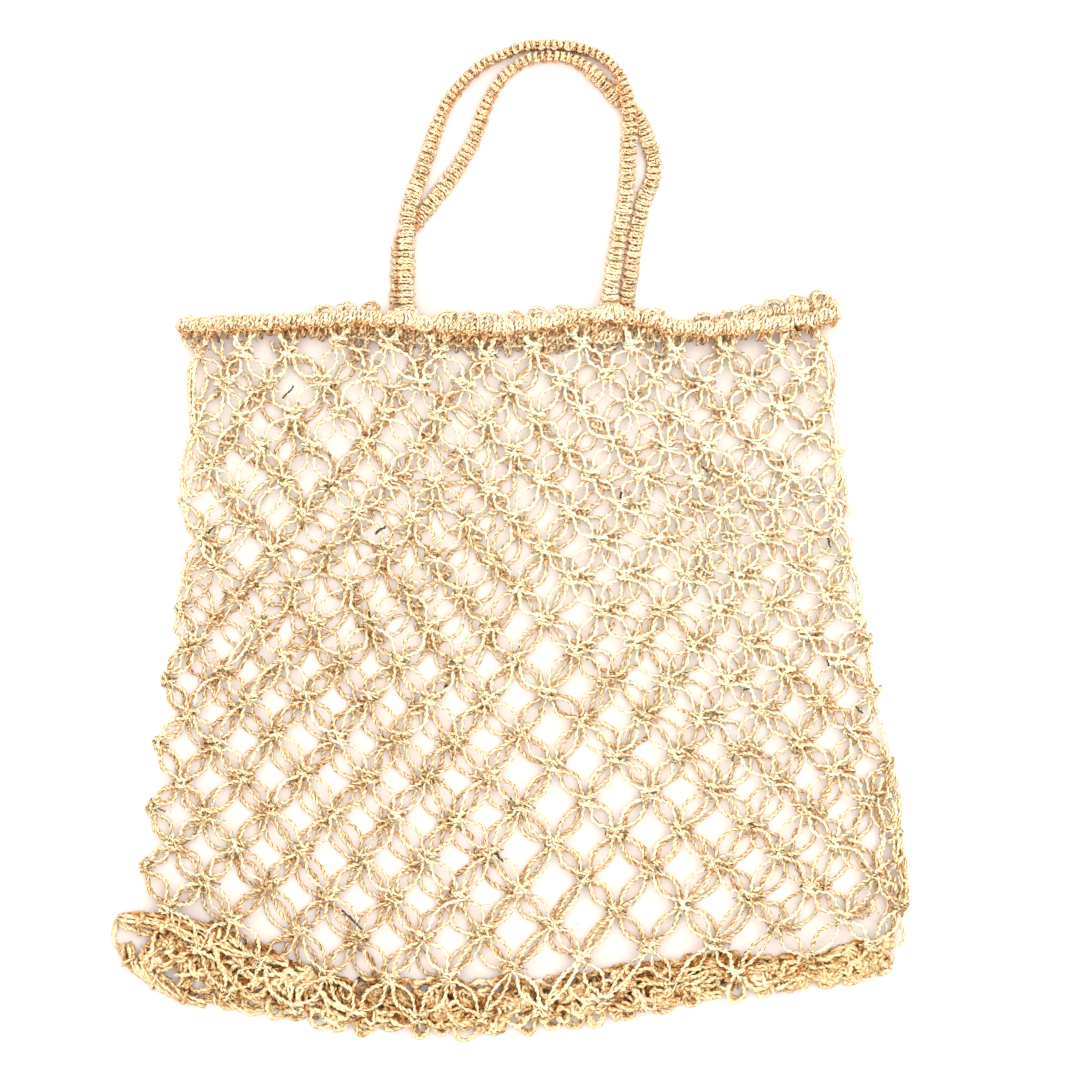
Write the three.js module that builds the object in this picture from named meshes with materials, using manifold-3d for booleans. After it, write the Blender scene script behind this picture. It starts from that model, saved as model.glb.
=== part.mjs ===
// Macrame market tote of straw cord, lying flat on its back.
// Millimetres. X runs to the right, +Y towards the handles, +Z up from the surface at Z = 0.
// The origin is on the surface, below the middle of the bag's outline.

import * as THREE from 'three';
import { mergeVertices } from 'three/addons/utils/BufferGeometryUtils.js';
import Module from 'manifold-3d';

const wasm = await Module();
wasm.setup();

// Driving dimensions
const gap = 0.3; // between neighbouring pieces
const netThickness = 3;
const strandWidth = 4;
const barHeight = 8.5; // a heading bar, also its depth
const baseHeight = 16;
const strapWidth = 10.4;
const strapThickness = 5.6;
const underFrontNet = netThickness + gap + 0.25;
const underFrontBar = barHeight + gap;
const curveClearance = 0.3; // added where a net meets a curved edge

// The bag's two sides, a row for each height
const sides = [
  { y: 125, left: -186, right: 184 },
  { y: 60, left: -185.5, right: 184 },
  { y: 0, left: -190, right: 193 },
  { y: -60, left: -198, right: 201 },
  { y: -120, left: -206, right: 211 },
  { y: -170, left: -211, right: 220 },
  { y: -205, left: -212.5, right: 222.5 },
  { y: -235, left: -213, right: 215 },
];

// The middle lines of the two heading bars, a row for each place across the bag
const headings = [
  { x: -187, front: 120, back: 120 },
  { x: -119, front: 122, back: 120.5 },
  { x: -80, front: 124, back: 116.5 },
  { x: -50, front: 121, back: 114 },
  { x: -19, front: 118, back: 112.5 },
  { x: 20, front: 121.5, back: 113 },
  { x: 43, front: 125, back: 114.5 },
  { x: 71, front: 124, back: 115 },
  { x: 91, front: 118.5, back: 117 },
  { x: 128, front: 120.5, back: 124.5 },
  { x: 151, front: 122.5, back: 130.5 },
  { x: 170, front: 124.5, back: 133.5 },
  { x: 183, front: 130, back: 133.5 },
];

// The upper and lower edges of the gathered base, a row for each place across the bag
const gather = [
  { x: -214, upper: -208.6, lower: -246 },
  { x: -182, upper: -211.5, lower: -252 },
  { x: -160, upper: -215, lower: -260 },
  { x: -130, upper: -231, lower: -266 },
  { x: -108, upper: -240, lower: -272 },
  { x: -60, upper: -244, lower: -275 },
  { x: -20, upper: -245, lower: -276.5 },
  { x: 15, upper: -244, lower: -274 },
  { x: 60, upper: -238, lower: -268 },
  { x: 94, upper: -232, lower: -261.5 },
  { x: 127, upper: -230, lower: -256.5 },
  { x: 158, upper: -232, lower: -251 },
  { x: 190, upper: -225.5, lower: -247 },
  { x: 215, upper: -219, lower: -237 },
];
const gatherStart = -182;
const gatherEnd = 215;

// The loop of cord bundle at the base's left end, a row for each turn of its route
const cornerLoop = [
  { x: -172, y: -220 },
  { x: -194, y: -215.5 },
  { x: -211, y: -214.5 },
  { x: -218, y: -221 },
  { x: -218.5, y: -230 },
  { x: -214.5, y: -238.5 },
  { x: -205, y: -245 },
  { x: -184, y: -250 },
  { x: -170, y: -246 },
];

// Small loops of cord that hang from the base's lower edge
const baseLoops = [
  { x: -133, reach: 4 },
  { x: -108, reach: 3 },
  { x: -84, reach: 4 },
  { x: -52, reach: 4 },
  { x: -27, reach: 4.5 },
  { x: 8, reach: 3 },
  { x: 44, reach: 3 },
  { x: 84, reach: 3 },
  { x: 125, reach: 3 },
];

// Picot loops on the upper edges of the heading bars
const picots = {
  front: [{ x: -105 }, { x: -92 }, { x: -80 }, { x: -37 }, { x: -25 }, { x: -13 }, { x: 14 }, { x: 28 }, { x: 79 }],
  back: [{ x: 108 }, { x: 121 }, { x: 134 }, { x: 147 }, { x: 160 }, { x: 173 }],
};
const picotWidth = 12;
const picotReach = 5;
const cordHalf = 1.4;

// Handle routes from the left foot to the right foot. Under is the height of the strap's lower
// side above the surface, and turn is 0 for a strap lying flat and 90 for one on its edge.
const frontHandle = [
  { x: -59, y: 127.5, under: 10.2, turn: 0 },
  { x: -59.2, y: 140, under: 10, turn: 0 },
  { x: -59.2, y: 162, under: 8.6, turn: 4 },
  { x: -58.1, y: 184, under: 7, turn: 15 },
  { x: -50.8, y: 207, under: 1.2, turn: 35 },
  { x: -43.5, y: 228.5, under: 0, turn: 55 },
  { x: -35.1, y: 247.5, under: 0, turn: 72 },
  { x: -18.3, y: 265.6, under: 0, turn: 88 },
  { x: 4.1, y: 276, under: 0, turn: 90 },
  { x: 15.3, y: 277.4, under: 0, turn: 90 },
  { x: 26.5, y: 277.4, under: 0, turn: 90 },
  { x: 37.7, y: 275.6, under: 0, turn: 90 },
  { x: 48.9, y: 271, under: 1.5, turn: 88 },
  { x: 57.8, y: 262.1, under: 5.2, turn: 76 },
  { x: 63.4, y: 249.2, under: 7, turn: 60 },
  { x: 65.1, y: 235.2, under: 7, turn: 42 },
  { x: 64.5, y: 212.8, under: 6.4, turn: 24 },
  { x: 62.9, y: 190.4, under: 6.6, turn: 10 },
  { x: 58.4, y: 165, under: 7.8, turn: 0 },
  { x: 54.5, y: 140, under: 10, turn: 0 },
  { x: 54.2, y: 130, under: 10.2, turn: 0 },
];
const backHandle = [
  { x: -66.3, y: 120.8, under: 0, turn: 0 },
  { x: -66.5, y: 134, under: 0, turn: 0 },
  { x: -66.2, y: 162, under: 0, turn: 0 },
  { x: -60, y: 173, under: 0, turn: 4 },
  { x: -49.7, y: 184, under: 0, turn: 12 },
  { x: -34, y: 204.4, under: 0, turn: 35 },
  { x: -22.3, y: 224, under: 0, turn: 55 },
  { x: -15.5, y: 242.5, under: 0, turn: 72 },
  { x: -7.1, y: 257.7, under: 0, turn: 85 },
  { x: 5, y: 267.8, under: 0, turn: 90 },
  { x: 15.3, y: 270.9, under: 0, turn: 90 },
  { x: 26.5, y: 271, under: 0, turn: 90 },
  { x: 34.9, y: 268.8, under: 0, turn: 84 },
  { x: 43.3, y: 263.2, under: 0, turn: 60 },
  { x: 52, y: 254.6, under: 0, turn: 30 },
  { x: 59.5, y: 247, under: 0, turn: 8 },
  { x: 71.3, y: 235.2, under: 0, turn: 0 },
  { x: 78, y: 216, under: 0, turn: 12 },
  { x: 78.6, y: 204.4, under: 0, turn: 14 },
  { x: 73.4, y: 190.4, under: 0, turn: 8 },
  { x: 69, y: 172.5, under: 0, turn: 0 },
  { x: 66, y: 150, under: 0, turn: 0 },
  { x: 63.6, y: 134, under: 0, turn: 0 },
  { x: 63.4, y: 120.2, under: 0, turn: 0 },
];

// Net plans: both panels are drawn at about twice the real net's pitch
const netColumns = 6;
const netRows = 9;
const knotReach = 5.6; // from a knot's middle to the holes around it
const sideScallop = 3;
const sway = 1.5; // unevenness of the inner knots

// Smooth value of one column of a table at any place along another
function along(rows, place, value) {
  const slope = (i) => {
    const a = rows[Math.max(i - 1, 0)];
    const b = rows[Math.min(i + 1, rows.length - 1)];
    return (b[value] - a[value]) / (b[place] - a[place]);
  };
  const rising = rows[1][place] > rows[0][place];
  return (p) => {
    const after = rows.findIndex((row) => (rising ? row[place] > p : row[place] < p));
    const i = THREE.MathUtils.clamp(after < 0 ? rows.length - 2 : after - 1, 0, rows.length - 2);
    const span = rows[i + 1][place] - rows[i][place];
    const t = THREE.MathUtils.clamp((p - rows[i][place]) / span, 0, 1);
    const rest = 1 - t;
    return rows[i][value] * rest * rest * (1 + 2 * t) + rows[i + 1][value] * t * t * (3 - 2 * t)
      + span * t * rest * (slope(i) * rest - slope(i + 1) * t);
  };
}

const leftSide = along(sides, 'y', 'left');
const rightSide = along(sides, 'y', 'right');
const frontBar = along(headings, 'x', 'front');
const backBar = along(headings, 'x', 'back');
const gatherTop = along(gather, 'x', 'upper');
const gatherFoot = along(gather, 'x', 'lower');

// Booleans between closed geometries
function toSolid(geometry) {
  const bare = geometry.clone();
  bare.deleteAttribute('normal');
  bare.deleteAttribute('uv');
  const merged = mergeVertices(bare, 1e-5);
  return new wasm.Manifold(new wasm.Mesh({
    numProp: 3,
    vertProperties: new Float32Array(merged.getAttribute('position').array),
    triVerts: new Uint32Array(merged.getIndex().array),
  }));
}

function toGeometry(solid) {
  const { numProp, vertProperties, triVerts } = solid.getMesh();
  const positions = new Float32Array((vertProperties.length / numProp) * 3);
  for (let i = 0; i < positions.length / 3; i += 1) {
    for (let k = 0; k < 3; k += 1) {
      positions[i * 3 + k] = vertProperties[i * numProp + k];
    }
  }
  const geometry = new THREE.BufferGeometry();
  geometry.setAttribute('position', new THREE.BufferAttribute(positions, 3));
  geometry.setIndex(new THREE.BufferAttribute(new Uint32Array(triVerts), 1));
  geometry.computeVertexNormals();
  return geometry;
}

const joined = (first, others) => others.reduce((whole, piece) => whole.add(piece), first);

// A bar whose section follows a route: ring(t) gives its middle, half sizes, turn and, if it is not
// square to the route, the direction across it
function sweep(section, steps, ring) {
  const geometry = new THREE.ExtrudeGeometry(section, { depth: 1, steps, bevelEnabled: false });
  const position = geometry.getAttribute('position');
  const outline = section.getPoints();
  const up = new THREE.Vector3(0, 0, 1);
  const rings = Array.from({ length: steps + 1 }, (_, i) => {
    const t = i / steps;
    const made = ring(t, i);
    const ahead = ring(Math.min(t + 0.002, 1), i).middle;
    const behind = ring(Math.max(t - 0.002, 0), i).middle;
    const forward = ahead.clone().sub(behind).setZ(0).normalize();
    const across = made.across ?? up.clone().cross(forward);
    const turn = THREE.MathUtils.degToRad(made.turn ?? 0);
    const place = (x, y) => {
      const wide = x * made.halfWidth;
      const high = y * made.halfHeight;
      return [wide * Math.cos(turn) - high * Math.sin(turn), wide * Math.sin(turn) + high * Math.cos(turn)];
    };
    const lowest = Math.min(...outline.map((point) => place(point.x, point.y)[1]));
    const base = made.middle.z - lowest;
    return { middle: made.middle, across, place, base };
  });
  for (let i = 0; i < position.count; i += 1) {
    const { middle, across, place, base } = rings[Math.round(position.getZ(i) * steps)];
    const [side, rise] = place(position.getX(i), position.getY(i));
    position.setXYZ(i, middle.x + across.x * side, middle.y + across.y * side, base + rise);
  }
  return geometry;
}

function sectionShape(points) {
  return new THREE.Shape(points.map(([x, y]) => new THREE.Vector2(x, y)));
}

const octagon = sectionShape(Array.from({ length: 8 }, (_, i) => {
  const angle = ((i + 0.5) * Math.PI) / 4;
  return [Math.cos(angle), Math.sin(angle)].map((value) => value / Math.cos(Math.PI / 8));
}));
const rollSection = sectionShape([
  [1, -0.35], [1, 0.25], [0.6, 0.85], [0, 1], [-0.6, 0.85], [-1, 0.25], [-1, -0.35], [-0.6, -1], [0.6, -1],
]);
const strapSection = sectionShape([
  [-1, -0.45], [-0.55, -1], [0.55, -1], [1, -0.45], [1, 0.45], [0.55, 1], [-0.55, 1], [-1, 0.45],
]);
const alongY = new THREE.Vector3(0, 1, 0);
const squareSection = sectionShape([[-1, -1], [1, -1], [1, 1], [-1, 1]]);

// A small arc of cord with both feet at height y, standing out by rise towards +Y or -Y
function arc(x, y, under, width, rise, halfCord) {
  const steps = 4;
  return sweep(squareSection, steps, (t) => ({
    middle: new THREE.Vector3(x + (t - 0.5) * width, y + rise * Math.sin(Math.PI * t), under),
    halfWidth: halfCord,
    halfHeight: halfCord,
  }));
}

// The net's knots: even rows sit between the knots of odd rows, which reach the sides
function netPlace(panel, column, row) {
  const v = row / netRows;
  const u = column / (2 * netColumns);
  const inner = column > 0 && column < 2 * netColumns && row > 0 && row < netRows;
  const level = THREE.MathUtils.lerp(panel.top(0), panel.bottom(0), v);
  const across = THREE.MathUtils.lerp(leftSide(level), rightSide(level), u);
  const y = THREE.MathUtils.lerp(panel.top(across), panel.bottom(across), v);
  const x = THREE.MathUtils.lerp(leftSide(y), rightSide(y), u);
  const shift = inner ? sway : 0;
  return new THREE.Vector2(
    x + shift * Math.sin(3.1 * column + 1.7 * row),
    y + shift * Math.sin(2.3 * column - 1.3 * row),
  );
}

// Points on a line between two knots, set off to the side where the place towards lies
function bowed(from, to, offset, towards, marks = [0.3, 0.7]) {
  const chord = to.clone().sub(from);
  const normal = new THREE.Vector2(-chord.y, chord.x).normalize();
  if (normal.dot(towards.clone().sub(from)) < 0) {
    normal.negate();
  }
  return marks.map((t) => from.clone().addScaledVector(chord, t).addScaledVector(normal, offset));
}

// A leaf-shaped hole between the two strands of one leg
function leafHole(panel, from, to) {
  const chord = to.clone().sub(from);
  const reach = chord.clone().setLength(knotReach + 2);
  const side = new THREE.Vector2(-chord.y, chord.x).add(from);
  const otherSide = new THREE.Vector2(chord.y, -chord.x).add(from);
  const half = panel.legHalf - strandWidth;
  return [
    from.clone().add(reach),
    ...bowed(from, to, half, side),
    to.clone().sub(reach),
    ...bowed(to, from, half, otherSide),
  ];
}

// A four-sided hole between the legs that join the knots around it
function meshHole(panel, corners) {
  const middle = corners.reduce((sum, c) => sum.add(c), new THREE.Vector2()).divideScalar(corners.length);
  return corners.flatMap((corner, i) => {
    const next = corners[(i + 1) % corners.length];
    const inset = corner.clone().add(middle.clone().sub(corner).setLength(knotReach + 1));
    return [inset, ...bowed(corner, next, panel.legHalf, middle, panel.openLegs ? undefined : [0.5])];
  });
}

// All holes of a panel. Those along its edge run past it, and its border strand cuts them off.
function netHoles(panel) {
  const at = (column, row) => netPlace(panel, column, row);
  const last = 2 * netColumns;
  const holes = [];
  for (let row = 0; row <= netRows; row += 1) {
    const firstKnot = row % 2 === 0 ? 1 : 0;
    for (let column = firstKnot; column <= last && row < netRows && panel.openLegs; column += 2) {
      for (const next of [column - 1, column + 1].filter((c) => c >= 0 && c <= last)) {
        holes.push(leafHole(panel, at(column, row), at(next, row + 1)));
      }
    }
    for (let column = 1 - firstKnot; column <= last; column += 2) {
      holes.push(meshHole(panel, [
        at(column, row - 1), at(column - 1, row), at(column, row + 1), at(column + 1, row),
      ]));
    }
  }
  return holes;
}

// The panel's outline, or the inner edge of its border strand when inset by that strand's width
function netOutline(panel, inset) {
  const topSteps = 20;
  const sideSteps = 2 * netRows;
  const points = [];
  const { lerp } = THREE.MathUtils;
  const scallop = (v) => sideScallop * Math.cos((v * netRows * Math.PI) / 2) ** 2 + inset;
  const level = (side, far, v) => lerp(panel.top(side(0) + far) - inset, panel.bottom(side(-200) + far) + inset, v);
  const topLeft = leftSide(panel.top(-186)) + inset;
  const topRight = rightSide(panel.top(184)) - inset;
  const bottomLeft = leftSide(panel.bottom(-212)) + inset;
  const bottomRight = rightSide(panel.bottom(216)) - inset;
  for (let i = 0; i < topSteps; i += 1) {
    const x = lerp(topRight, topLeft, i / topSteps);
    points.push([x, panel.top(x) - inset]);
  }
  for (let i = 0; i < sideSteps; i += 1) {
    const y = level(leftSide, 4, i / sideSteps);
    points.push([leftSide(y) + (i === 0 ? inset : scallop(i / sideSteps)), y]);
  }
  for (let i = 0; i < topSteps; i += 1) {
    const x = lerp(bottomLeft, bottomRight, i / topSteps);
    points.push([x, panel.bottom(x) + inset]);
  }
  for (let i = sideSteps; i > 0; i -= 1) {
    const y = level(rightSide, -4, i / sideSteps);
    points.push([rightSide(y) - scallop(i / sideSteps), y]);
  }
  return points;
}

// One ridged square knot, raised on the net's upper face
function ridgedKnot(place) {
  const profile = sectionShape([
    [-5.4, 0], [5.4, 0], [3.6, 3.6], [1.8, 2.7], [0, 4.3], [-1.8, 2.7], [-3.6, 3.6],
  ]);
  const length = 7.4;
  const knot = new THREE.ExtrudeGeometry(profile, { depth: length, bevelEnabled: false });
  const position = knot.getAttribute('position');
  for (let i = 0; i < position.count; i += 1) {
    const slant = 0.55 * position.getY(i) * (position.getZ(i) > 0 ? -1 : 1);
    position.setZ(i, position.getZ(i) + slant);
  }
  knot.rotateX(Math.PI / 2);
  knot.translate(place.x, place.y + length / 2, netThickness - 1.6);
  return knot;
}

function ridgedKnots(panel) {
  const knots = [];
  for (let row = 1; row < netRows; row += 1) {
    for (let column = row % 2 === 0 ? 1 : 2; column < 2 * netColumns; column += 2) {
      knots.push(ridgedKnot(netPlace(panel, column, row)));
    }
  }
  return knots;
}

function netPanel(panel) {
  const sheetOf = (shape) => toSolid(new THREE.ExtrudeGeometry(shape, { depth: netThickness, bevelEnabled: false }));
  const cutterOf = (shape) => {
    const cutter = new THREE.ExtrudeGeometry(shape, { depth: netThickness + 2, bevelEnabled: false });
    return toSolid(cutter.translate(0, 0, -1));
  };
  const cutters = netHoles(panel).map((points) => cutterOf(new THREE.Shape(points)));
  const within = cutterOf(sectionShape(netOutline(panel, strandWidth)));
  const cut = joined(cutters[0], cutters.slice(1)).intersect(within);
  const net = sheetOf(sectionShape(netOutline(panel, 0))).subtract(cut);
  const geometry = toGeometry(joined(net, panel.ridged ? ridgedKnots(panel).map(toSolid) : []));
  const position = geometry.getAttribute('position');
  for (let i = 0; i < position.count; i += 1) {
    const under = panel.under(position.getX(i), position.getY(i));
    position.setZ(i, position.getZ(i) + under);
  }
  return geometry;
}

// How far a place on the net is raised towards the heading bars, 1 at the bars and 0 away from them
function mouthRise(x, y) {
  const barFoot = Math.min(frontBar(x), backBar(x)) - barHeight / 2 - 1;
  return THREE.MathUtils.smoothstep(y, barFoot - 40, barFoot);
}

const frontPanel = {
  top: (x) => frontBar(x) - barHeight / 2 - gap - curveClearance,
  bottom: (x) => gatherTop(x) + gap + curveClearance,
  openLegs: true,
  ridged: true,
  legHalf: 9,
  under: (x, y) => {
    const fromSide = Math.min(x - leftSide(y), rightSide(y) - x);
    const slack = THREE.MathUtils.smoothstep(fromSide, 6, 36);
    const wave = slack * (1.4 + Math.sin(x / 31 + 0.6) * Math.cos(y / 43));
    const lift = 2.6 * (1 - THREE.MathUtils.smoothstep(y - gatherTop(x), 0, 34));
    return THREE.MathUtils.lerp(underFrontNet + wave + lift * slack, underFrontBar + 0.05, mouthRise(x, y));
  },
};

const backPanel = {
  top: (x) => backBar(x) - barHeight / 2 - gap - curveClearance,
  bottom: (x) => gatherTop(x) + gap + curveClearance,
  openLegs: false,
  ridged: false,
  legHalf: 2.9,
  under: (x, y) => 2.2 * mouthRise(x, y),
};

// A heading bar with its row of picot loops
function headingBar(bar, under, loops) {
  const steps = 38;
  const [first, last] = [headings[0].x, headings[headings.length - 1].x];
  const body = sweep(octagon, steps, (t, i) => {
    const x = THREE.MathUtils.lerp(first, last, t);
    const lump = i % 2 === 0 ? 1 : 0.93;
    const half = (barHeight / 2) * lump;
    return { middle: new THREE.Vector3(x, bar(x), under), across: alongY, halfWidth: half, halfHeight: half };
  });
  const rooted = 1.6;
  const picotsHere = loops.map(({ x }) => (
    toSolid(arc(x, bar(x) + barHeight / 2 - rooted, under + 2.9, picotWidth, picotReach + rooted - cordHalf, cordHalf))
  ));
  return toGeometry(joined(toSolid(body), picotsHere));
}

// A handle: a flat strap of square knots with a ridge for each pair of knots
function handle(rows) {
  const route = new THREE.CatmullRomCurve3(rows.map(({ x, y }) => new THREE.Vector3(x, y, 0)), false, 'centripetal');
  const marks = rows.map((row, i) => ({ ...row, share: i / (rows.length - 1) }));
  const under = along(marks, 'share', 'under');
  const turn = along(marks, 'share', 'turn');
  const steps = 74;
  const length = route.getLength();
  return sweep(strapSection, steps, (t, i) => {
    const share = route.getUtoTmapping(t);
    const middle = route.getPoint(share).setZ(Math.max(under(share), 0));
    const fromFoot = Math.min(t, 1 - t) * length;
    const flare = 1 + 0.7 * Math.exp(-fromFoot / 5);
    const ridge = i % 2 === 0 ? 1 : 0.84;
    return {
      middle,
      turn: turn(share),
      halfWidth: (strapWidth / 2) * ridge * flare,
      halfHeight: (strapThickness / 2) * ridge,
    };
  });
}

// The gathered base: a lumpy roll of net with its corner loop and hanging loops
function gatheredBase() {
  const steps = 44;
  const roll = sweep(rollSection, steps, (t, i) => {
    const x = THREE.MathUtils.lerp(gatherStart, gatherEnd, t);
    const edgeTop = gatherTop(x);
    const edgeFoot = gatherFoot(x);
    const fold = 0.93 + 0.07 * Math.sin(2.4 * i) * Math.sin(0.9 * i + 1);
    const crest = i % 2 === 0 ? 1 : 0.88;
    const ends = 0.55 + 0.45 * THREE.MathUtils.smoothstep(Math.min(t, 1 - t), 0, 0.07);
    return {
      middle: new THREE.Vector3(x, (edgeTop + edgeFoot) / 2, 0),
      across: alongY,
      halfWidth: ((edgeTop - edgeFoot) / 2) * fold * Math.sqrt(ends),
      halfHeight: (baseHeight / 2) * fold * ends * crest,
    };
  });
  const route = new THREE.CatmullRomCurve3(cornerLoop.map(({ x, y }) => new THREE.Vector3(x, y, 0)));
  const loop = sweep(octagon, 22, (t, i) => {
    const half = i % 2 === 0 ? 4.7 : 4.1;
    return { middle: route.getPointAt(t), halfWidth: half, halfHeight: half };
  });
  const rooted = 6;
  const hanging = baseLoops.map(({ x, reach }) => (
    toSolid(arc(x, gatherFoot(x) + rooted, 3, 13, cordHalf - reach - rooted, cordHalf))
  ));
  return toGeometry(joined(toSolid(roll), [toSolid(loop), ...hanging]));
}

// Straw, lighter on the front than in the shade behind it
const straw = { front: 0xe8cf9b, back: 0xd8b983, base: 0xd2ae76 };

function addPiece(group, name, geometry, color) {
  const material = new THREE.MeshStandardMaterial({ color, roughness: 0.82, metalness: 0 });
  const mesh = new THREE.Mesh(geometry, material);
  mesh.name = name;
  group.add(mesh);
}

const tote = new THREE.Group();
addPiece(tote, 'net_front', netPanel(frontPanel), straw.front);
addPiece(tote, 'net_back', netPanel(backPanel), straw.back);
addPiece(tote, 'header_front', headingBar(frontBar, underFrontBar, picots.front), straw.front);
addPiece(tote, 'header_back', headingBar(backBar, 0, picots.back), straw.back);
addPiece(tote, 'handle_front', handle(frontHandle), straw.front);
addPiece(tote, 'handle_back', handle(backHandle), straw.back);
addPiece(tote, 'base_gather', gatheredBase(), straw.base);

// The origin goes below the middle of the whole outline
const middle = new THREE.Box3().setFromObject(tote).getCenter(new THREE.Vector3());
tote.position.set(-middle.x, -middle.y, 0);

export default tote;
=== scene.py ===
"""Looks of a macrame market tote of straw cord, lying flat on its back on a pale surface."""

import math

import bpy
import numpy as np
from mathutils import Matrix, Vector


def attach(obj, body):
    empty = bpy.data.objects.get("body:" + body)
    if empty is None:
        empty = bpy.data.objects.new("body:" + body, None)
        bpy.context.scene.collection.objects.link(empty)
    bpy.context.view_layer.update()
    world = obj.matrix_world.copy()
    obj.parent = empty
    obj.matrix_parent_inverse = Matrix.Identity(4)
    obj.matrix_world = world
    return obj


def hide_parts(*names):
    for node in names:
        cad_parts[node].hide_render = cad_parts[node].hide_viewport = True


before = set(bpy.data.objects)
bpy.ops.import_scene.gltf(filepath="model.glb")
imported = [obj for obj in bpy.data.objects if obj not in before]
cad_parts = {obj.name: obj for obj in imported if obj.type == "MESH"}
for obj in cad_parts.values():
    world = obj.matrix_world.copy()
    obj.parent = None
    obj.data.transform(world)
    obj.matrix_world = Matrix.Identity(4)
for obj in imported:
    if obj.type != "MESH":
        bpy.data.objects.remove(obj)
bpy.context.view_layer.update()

MM = 0.001

# The tables below are in the CAD plan's millimetres, and the finished model is moved by this
CENTRING = np.array([1.135, 0.321, 0.0])

# The photograph's scale and the picture place of the plan's origin
MM_PER_PIXEL = 0.56
PLAN_ORIGIN = (512.75, 540.0)

# Middle lines of the two heading bars: x, front bar, back bar
HEADINGS = np.array([
    (-187, 120, 120), (-119, 122, 120.5), (-80, 124, 116.5), (-50, 121, 114), (-19, 118, 112.5),
    (20, 121.5, 113), (43, 125, 114.5), (71, 124, 115), (91, 118.5, 116.5), (128, 119.2, 122),
    (151, 120.5, 127.5), (170, 123.5, 130.5), (183, 126.8, 131.2),
], float)
BAR_HEIGHT = 8.5
UNDER_FRONT_BAR = 8.8

# Upper and lower edge of the gathered base: x, upper, lower
GATHER = np.array([
    (-214, -208.6, -246), (-182, -211.5, -252), (-160, -215, -260), (-130, -231, -266),
    (-108, -240, -272), (-60, -244, -275), (-20, -245, -276.5), (15, -244, -274), (60, -238, -268),
    (94, -232, -261.5), (127, -230, -256.5), (158, -232, -251), (190, -225.5, -247), (215, -219, -237),
], float)
BASE_HEIGHT = 15.0

# Picture points along the bag's left and right edges
LEFT_EDGE = (
    (178, 325), (181, 345), (186, 380), (184, 420), (178, 480), (177, 528), (171, 577), (166, 612),
    (162, 645), (158, 686), (152, 734), (149, 770), (143, 810), (141, 845), (136, 880), (134, 920),
    (134, 1000),
)
RIGHT_EDGE = (
    (838, 300), (838, 340), (842, 440), (850, 494), (858, 542), (863, 580), (870, 640), (880, 700),
    (886, 730), (897, 765), (902, 800), (904, 828), (908, 854), (910, 880), (910, 925), (903, 959),
    (890, 1000),
)

# Plan height of the eighteenth row of knots, and how far below it the nineteenth lies: x, height, drop
LAST_ROWS = np.array([
    (-203, -218, 20), (-175, -227, 20), (-141.5, -235, 21), (-97, -243.6, 21), (-60, -245.3, 21),
    (-27, -243.6, 23), (9.7, -238, 25), (44.4, -232.4, 25), (79.7, -226.8, 23), (116, -222.9, 21),
    (155, -215.6, 19), (186, -210, 18), (217, -204.4, 17),
], float)

# Bundles of cord round the base's left corner: picture points, radius, strands, height of the middle
CORNER_BUNDLES = (
    (((238, 922), (214, 926), (190, 920), (165, 915), (140, 915), (121, 917)), 1.6, 4, 9.0),
    (((218, 938), (195, 939), (170, 935), (148, 931), (132, 927), (121, 922)), 2.1, 5, 6.0),
    (((127, 916), (118, 921), (113, 933), (115, 944), (122, 953)), 0.8, 2, 4.0),
    (((124, 944), (128, 958), (137, 971), (153, 981), (172, 989), (188, 998), (206, 1000)), 3.4, 8, 5.2),
    (((204, 1000), (222, 1000), (236, 1007), (250, 1013), (264, 1009)), 1.6, 4, 3.2),
    (((170, 938), (153, 941), (142, 951), (143, 965), (153, 976), (172, 982)), 1.2, 3, 6.0),
    (((142, 962), (154, 964), (168, 960)), 0.5, 1, 4.0),
    (((160, 937), (174, 944), (182, 958), (184, 972), (181, 986)), 2.8, 6, 8.0),
    (((178, 942), (197, 946), (216, 943), (238, 951)), 1.8, 4, 8.0),
    (((121, 916), (150, 918), (180, 921), (212, 930), (240, 946)), 2.4, 5, 11.6),
    (((140, 922), (172, 925), (205, 938), (232, 950), (262, 955), (290, 959)), 2.6, 4, 12.4),
    (((196, 934), (214, 946), (222, 966), (240, 984), (262, 996)), 1.4, 3, 12.8),
)

# Loops of cord that hang from the base's lower edge: x, half width, how far below the edge
HANGING_LOOPS = (
    (-176, 6.5, 0.4), (-160, 5, 1.6), (-146, 6, 0.5), (-133, 5, 2.6), (-121, 4.4, 0.2),
    (-108, 6.2, 1.8), (-97, 4, 0.6), (-84, 5, 2.6), (-68, 5.4, 0.2), (-52, 4.6, 3), (-40, 4.2, 0.4),
    (-27, 7.2, 3.4), (-10, 4.4, 0.6), (8, 5, 1.8), (22, 4.4, 0.2), (35, 5.2, 1), (46, 4, 1.8),
    (62, 5.2, 0.3), (84, 5.4, 1.6), (100, 4.6, 0.2), (125, 5.2, 1.6), (140, 4.4, 0.2), (156, 4.6, 0.8),
    (176, 5.2, 0.6), (192, 4.6, 0.8),
)

# Picot loops on the upper edge of each bar, by x
FRONT_PICOTS = (-105, -92, -80, -37, -25, -13, 0, 14, 28, 79)
BACK_PICOTS = (108, 121, 134, 147, 160, 173)

# Feet of the handles on each bar: x, y
FRONT_FEET = ((-59.5, 126), (54.5, 129))
BACK_FEET = ((-66.3, 121), (63.5, 120))

# Knots of the back net that show on the right fold, by their picture points, and their height
FOLD_KNOT_HEIGHT = 8.0
FOLD_KNOTS = ((878, 690), (888, 792), (893, 828), (897, 862), (899, 903), (872, 905), (868, 640))

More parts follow.
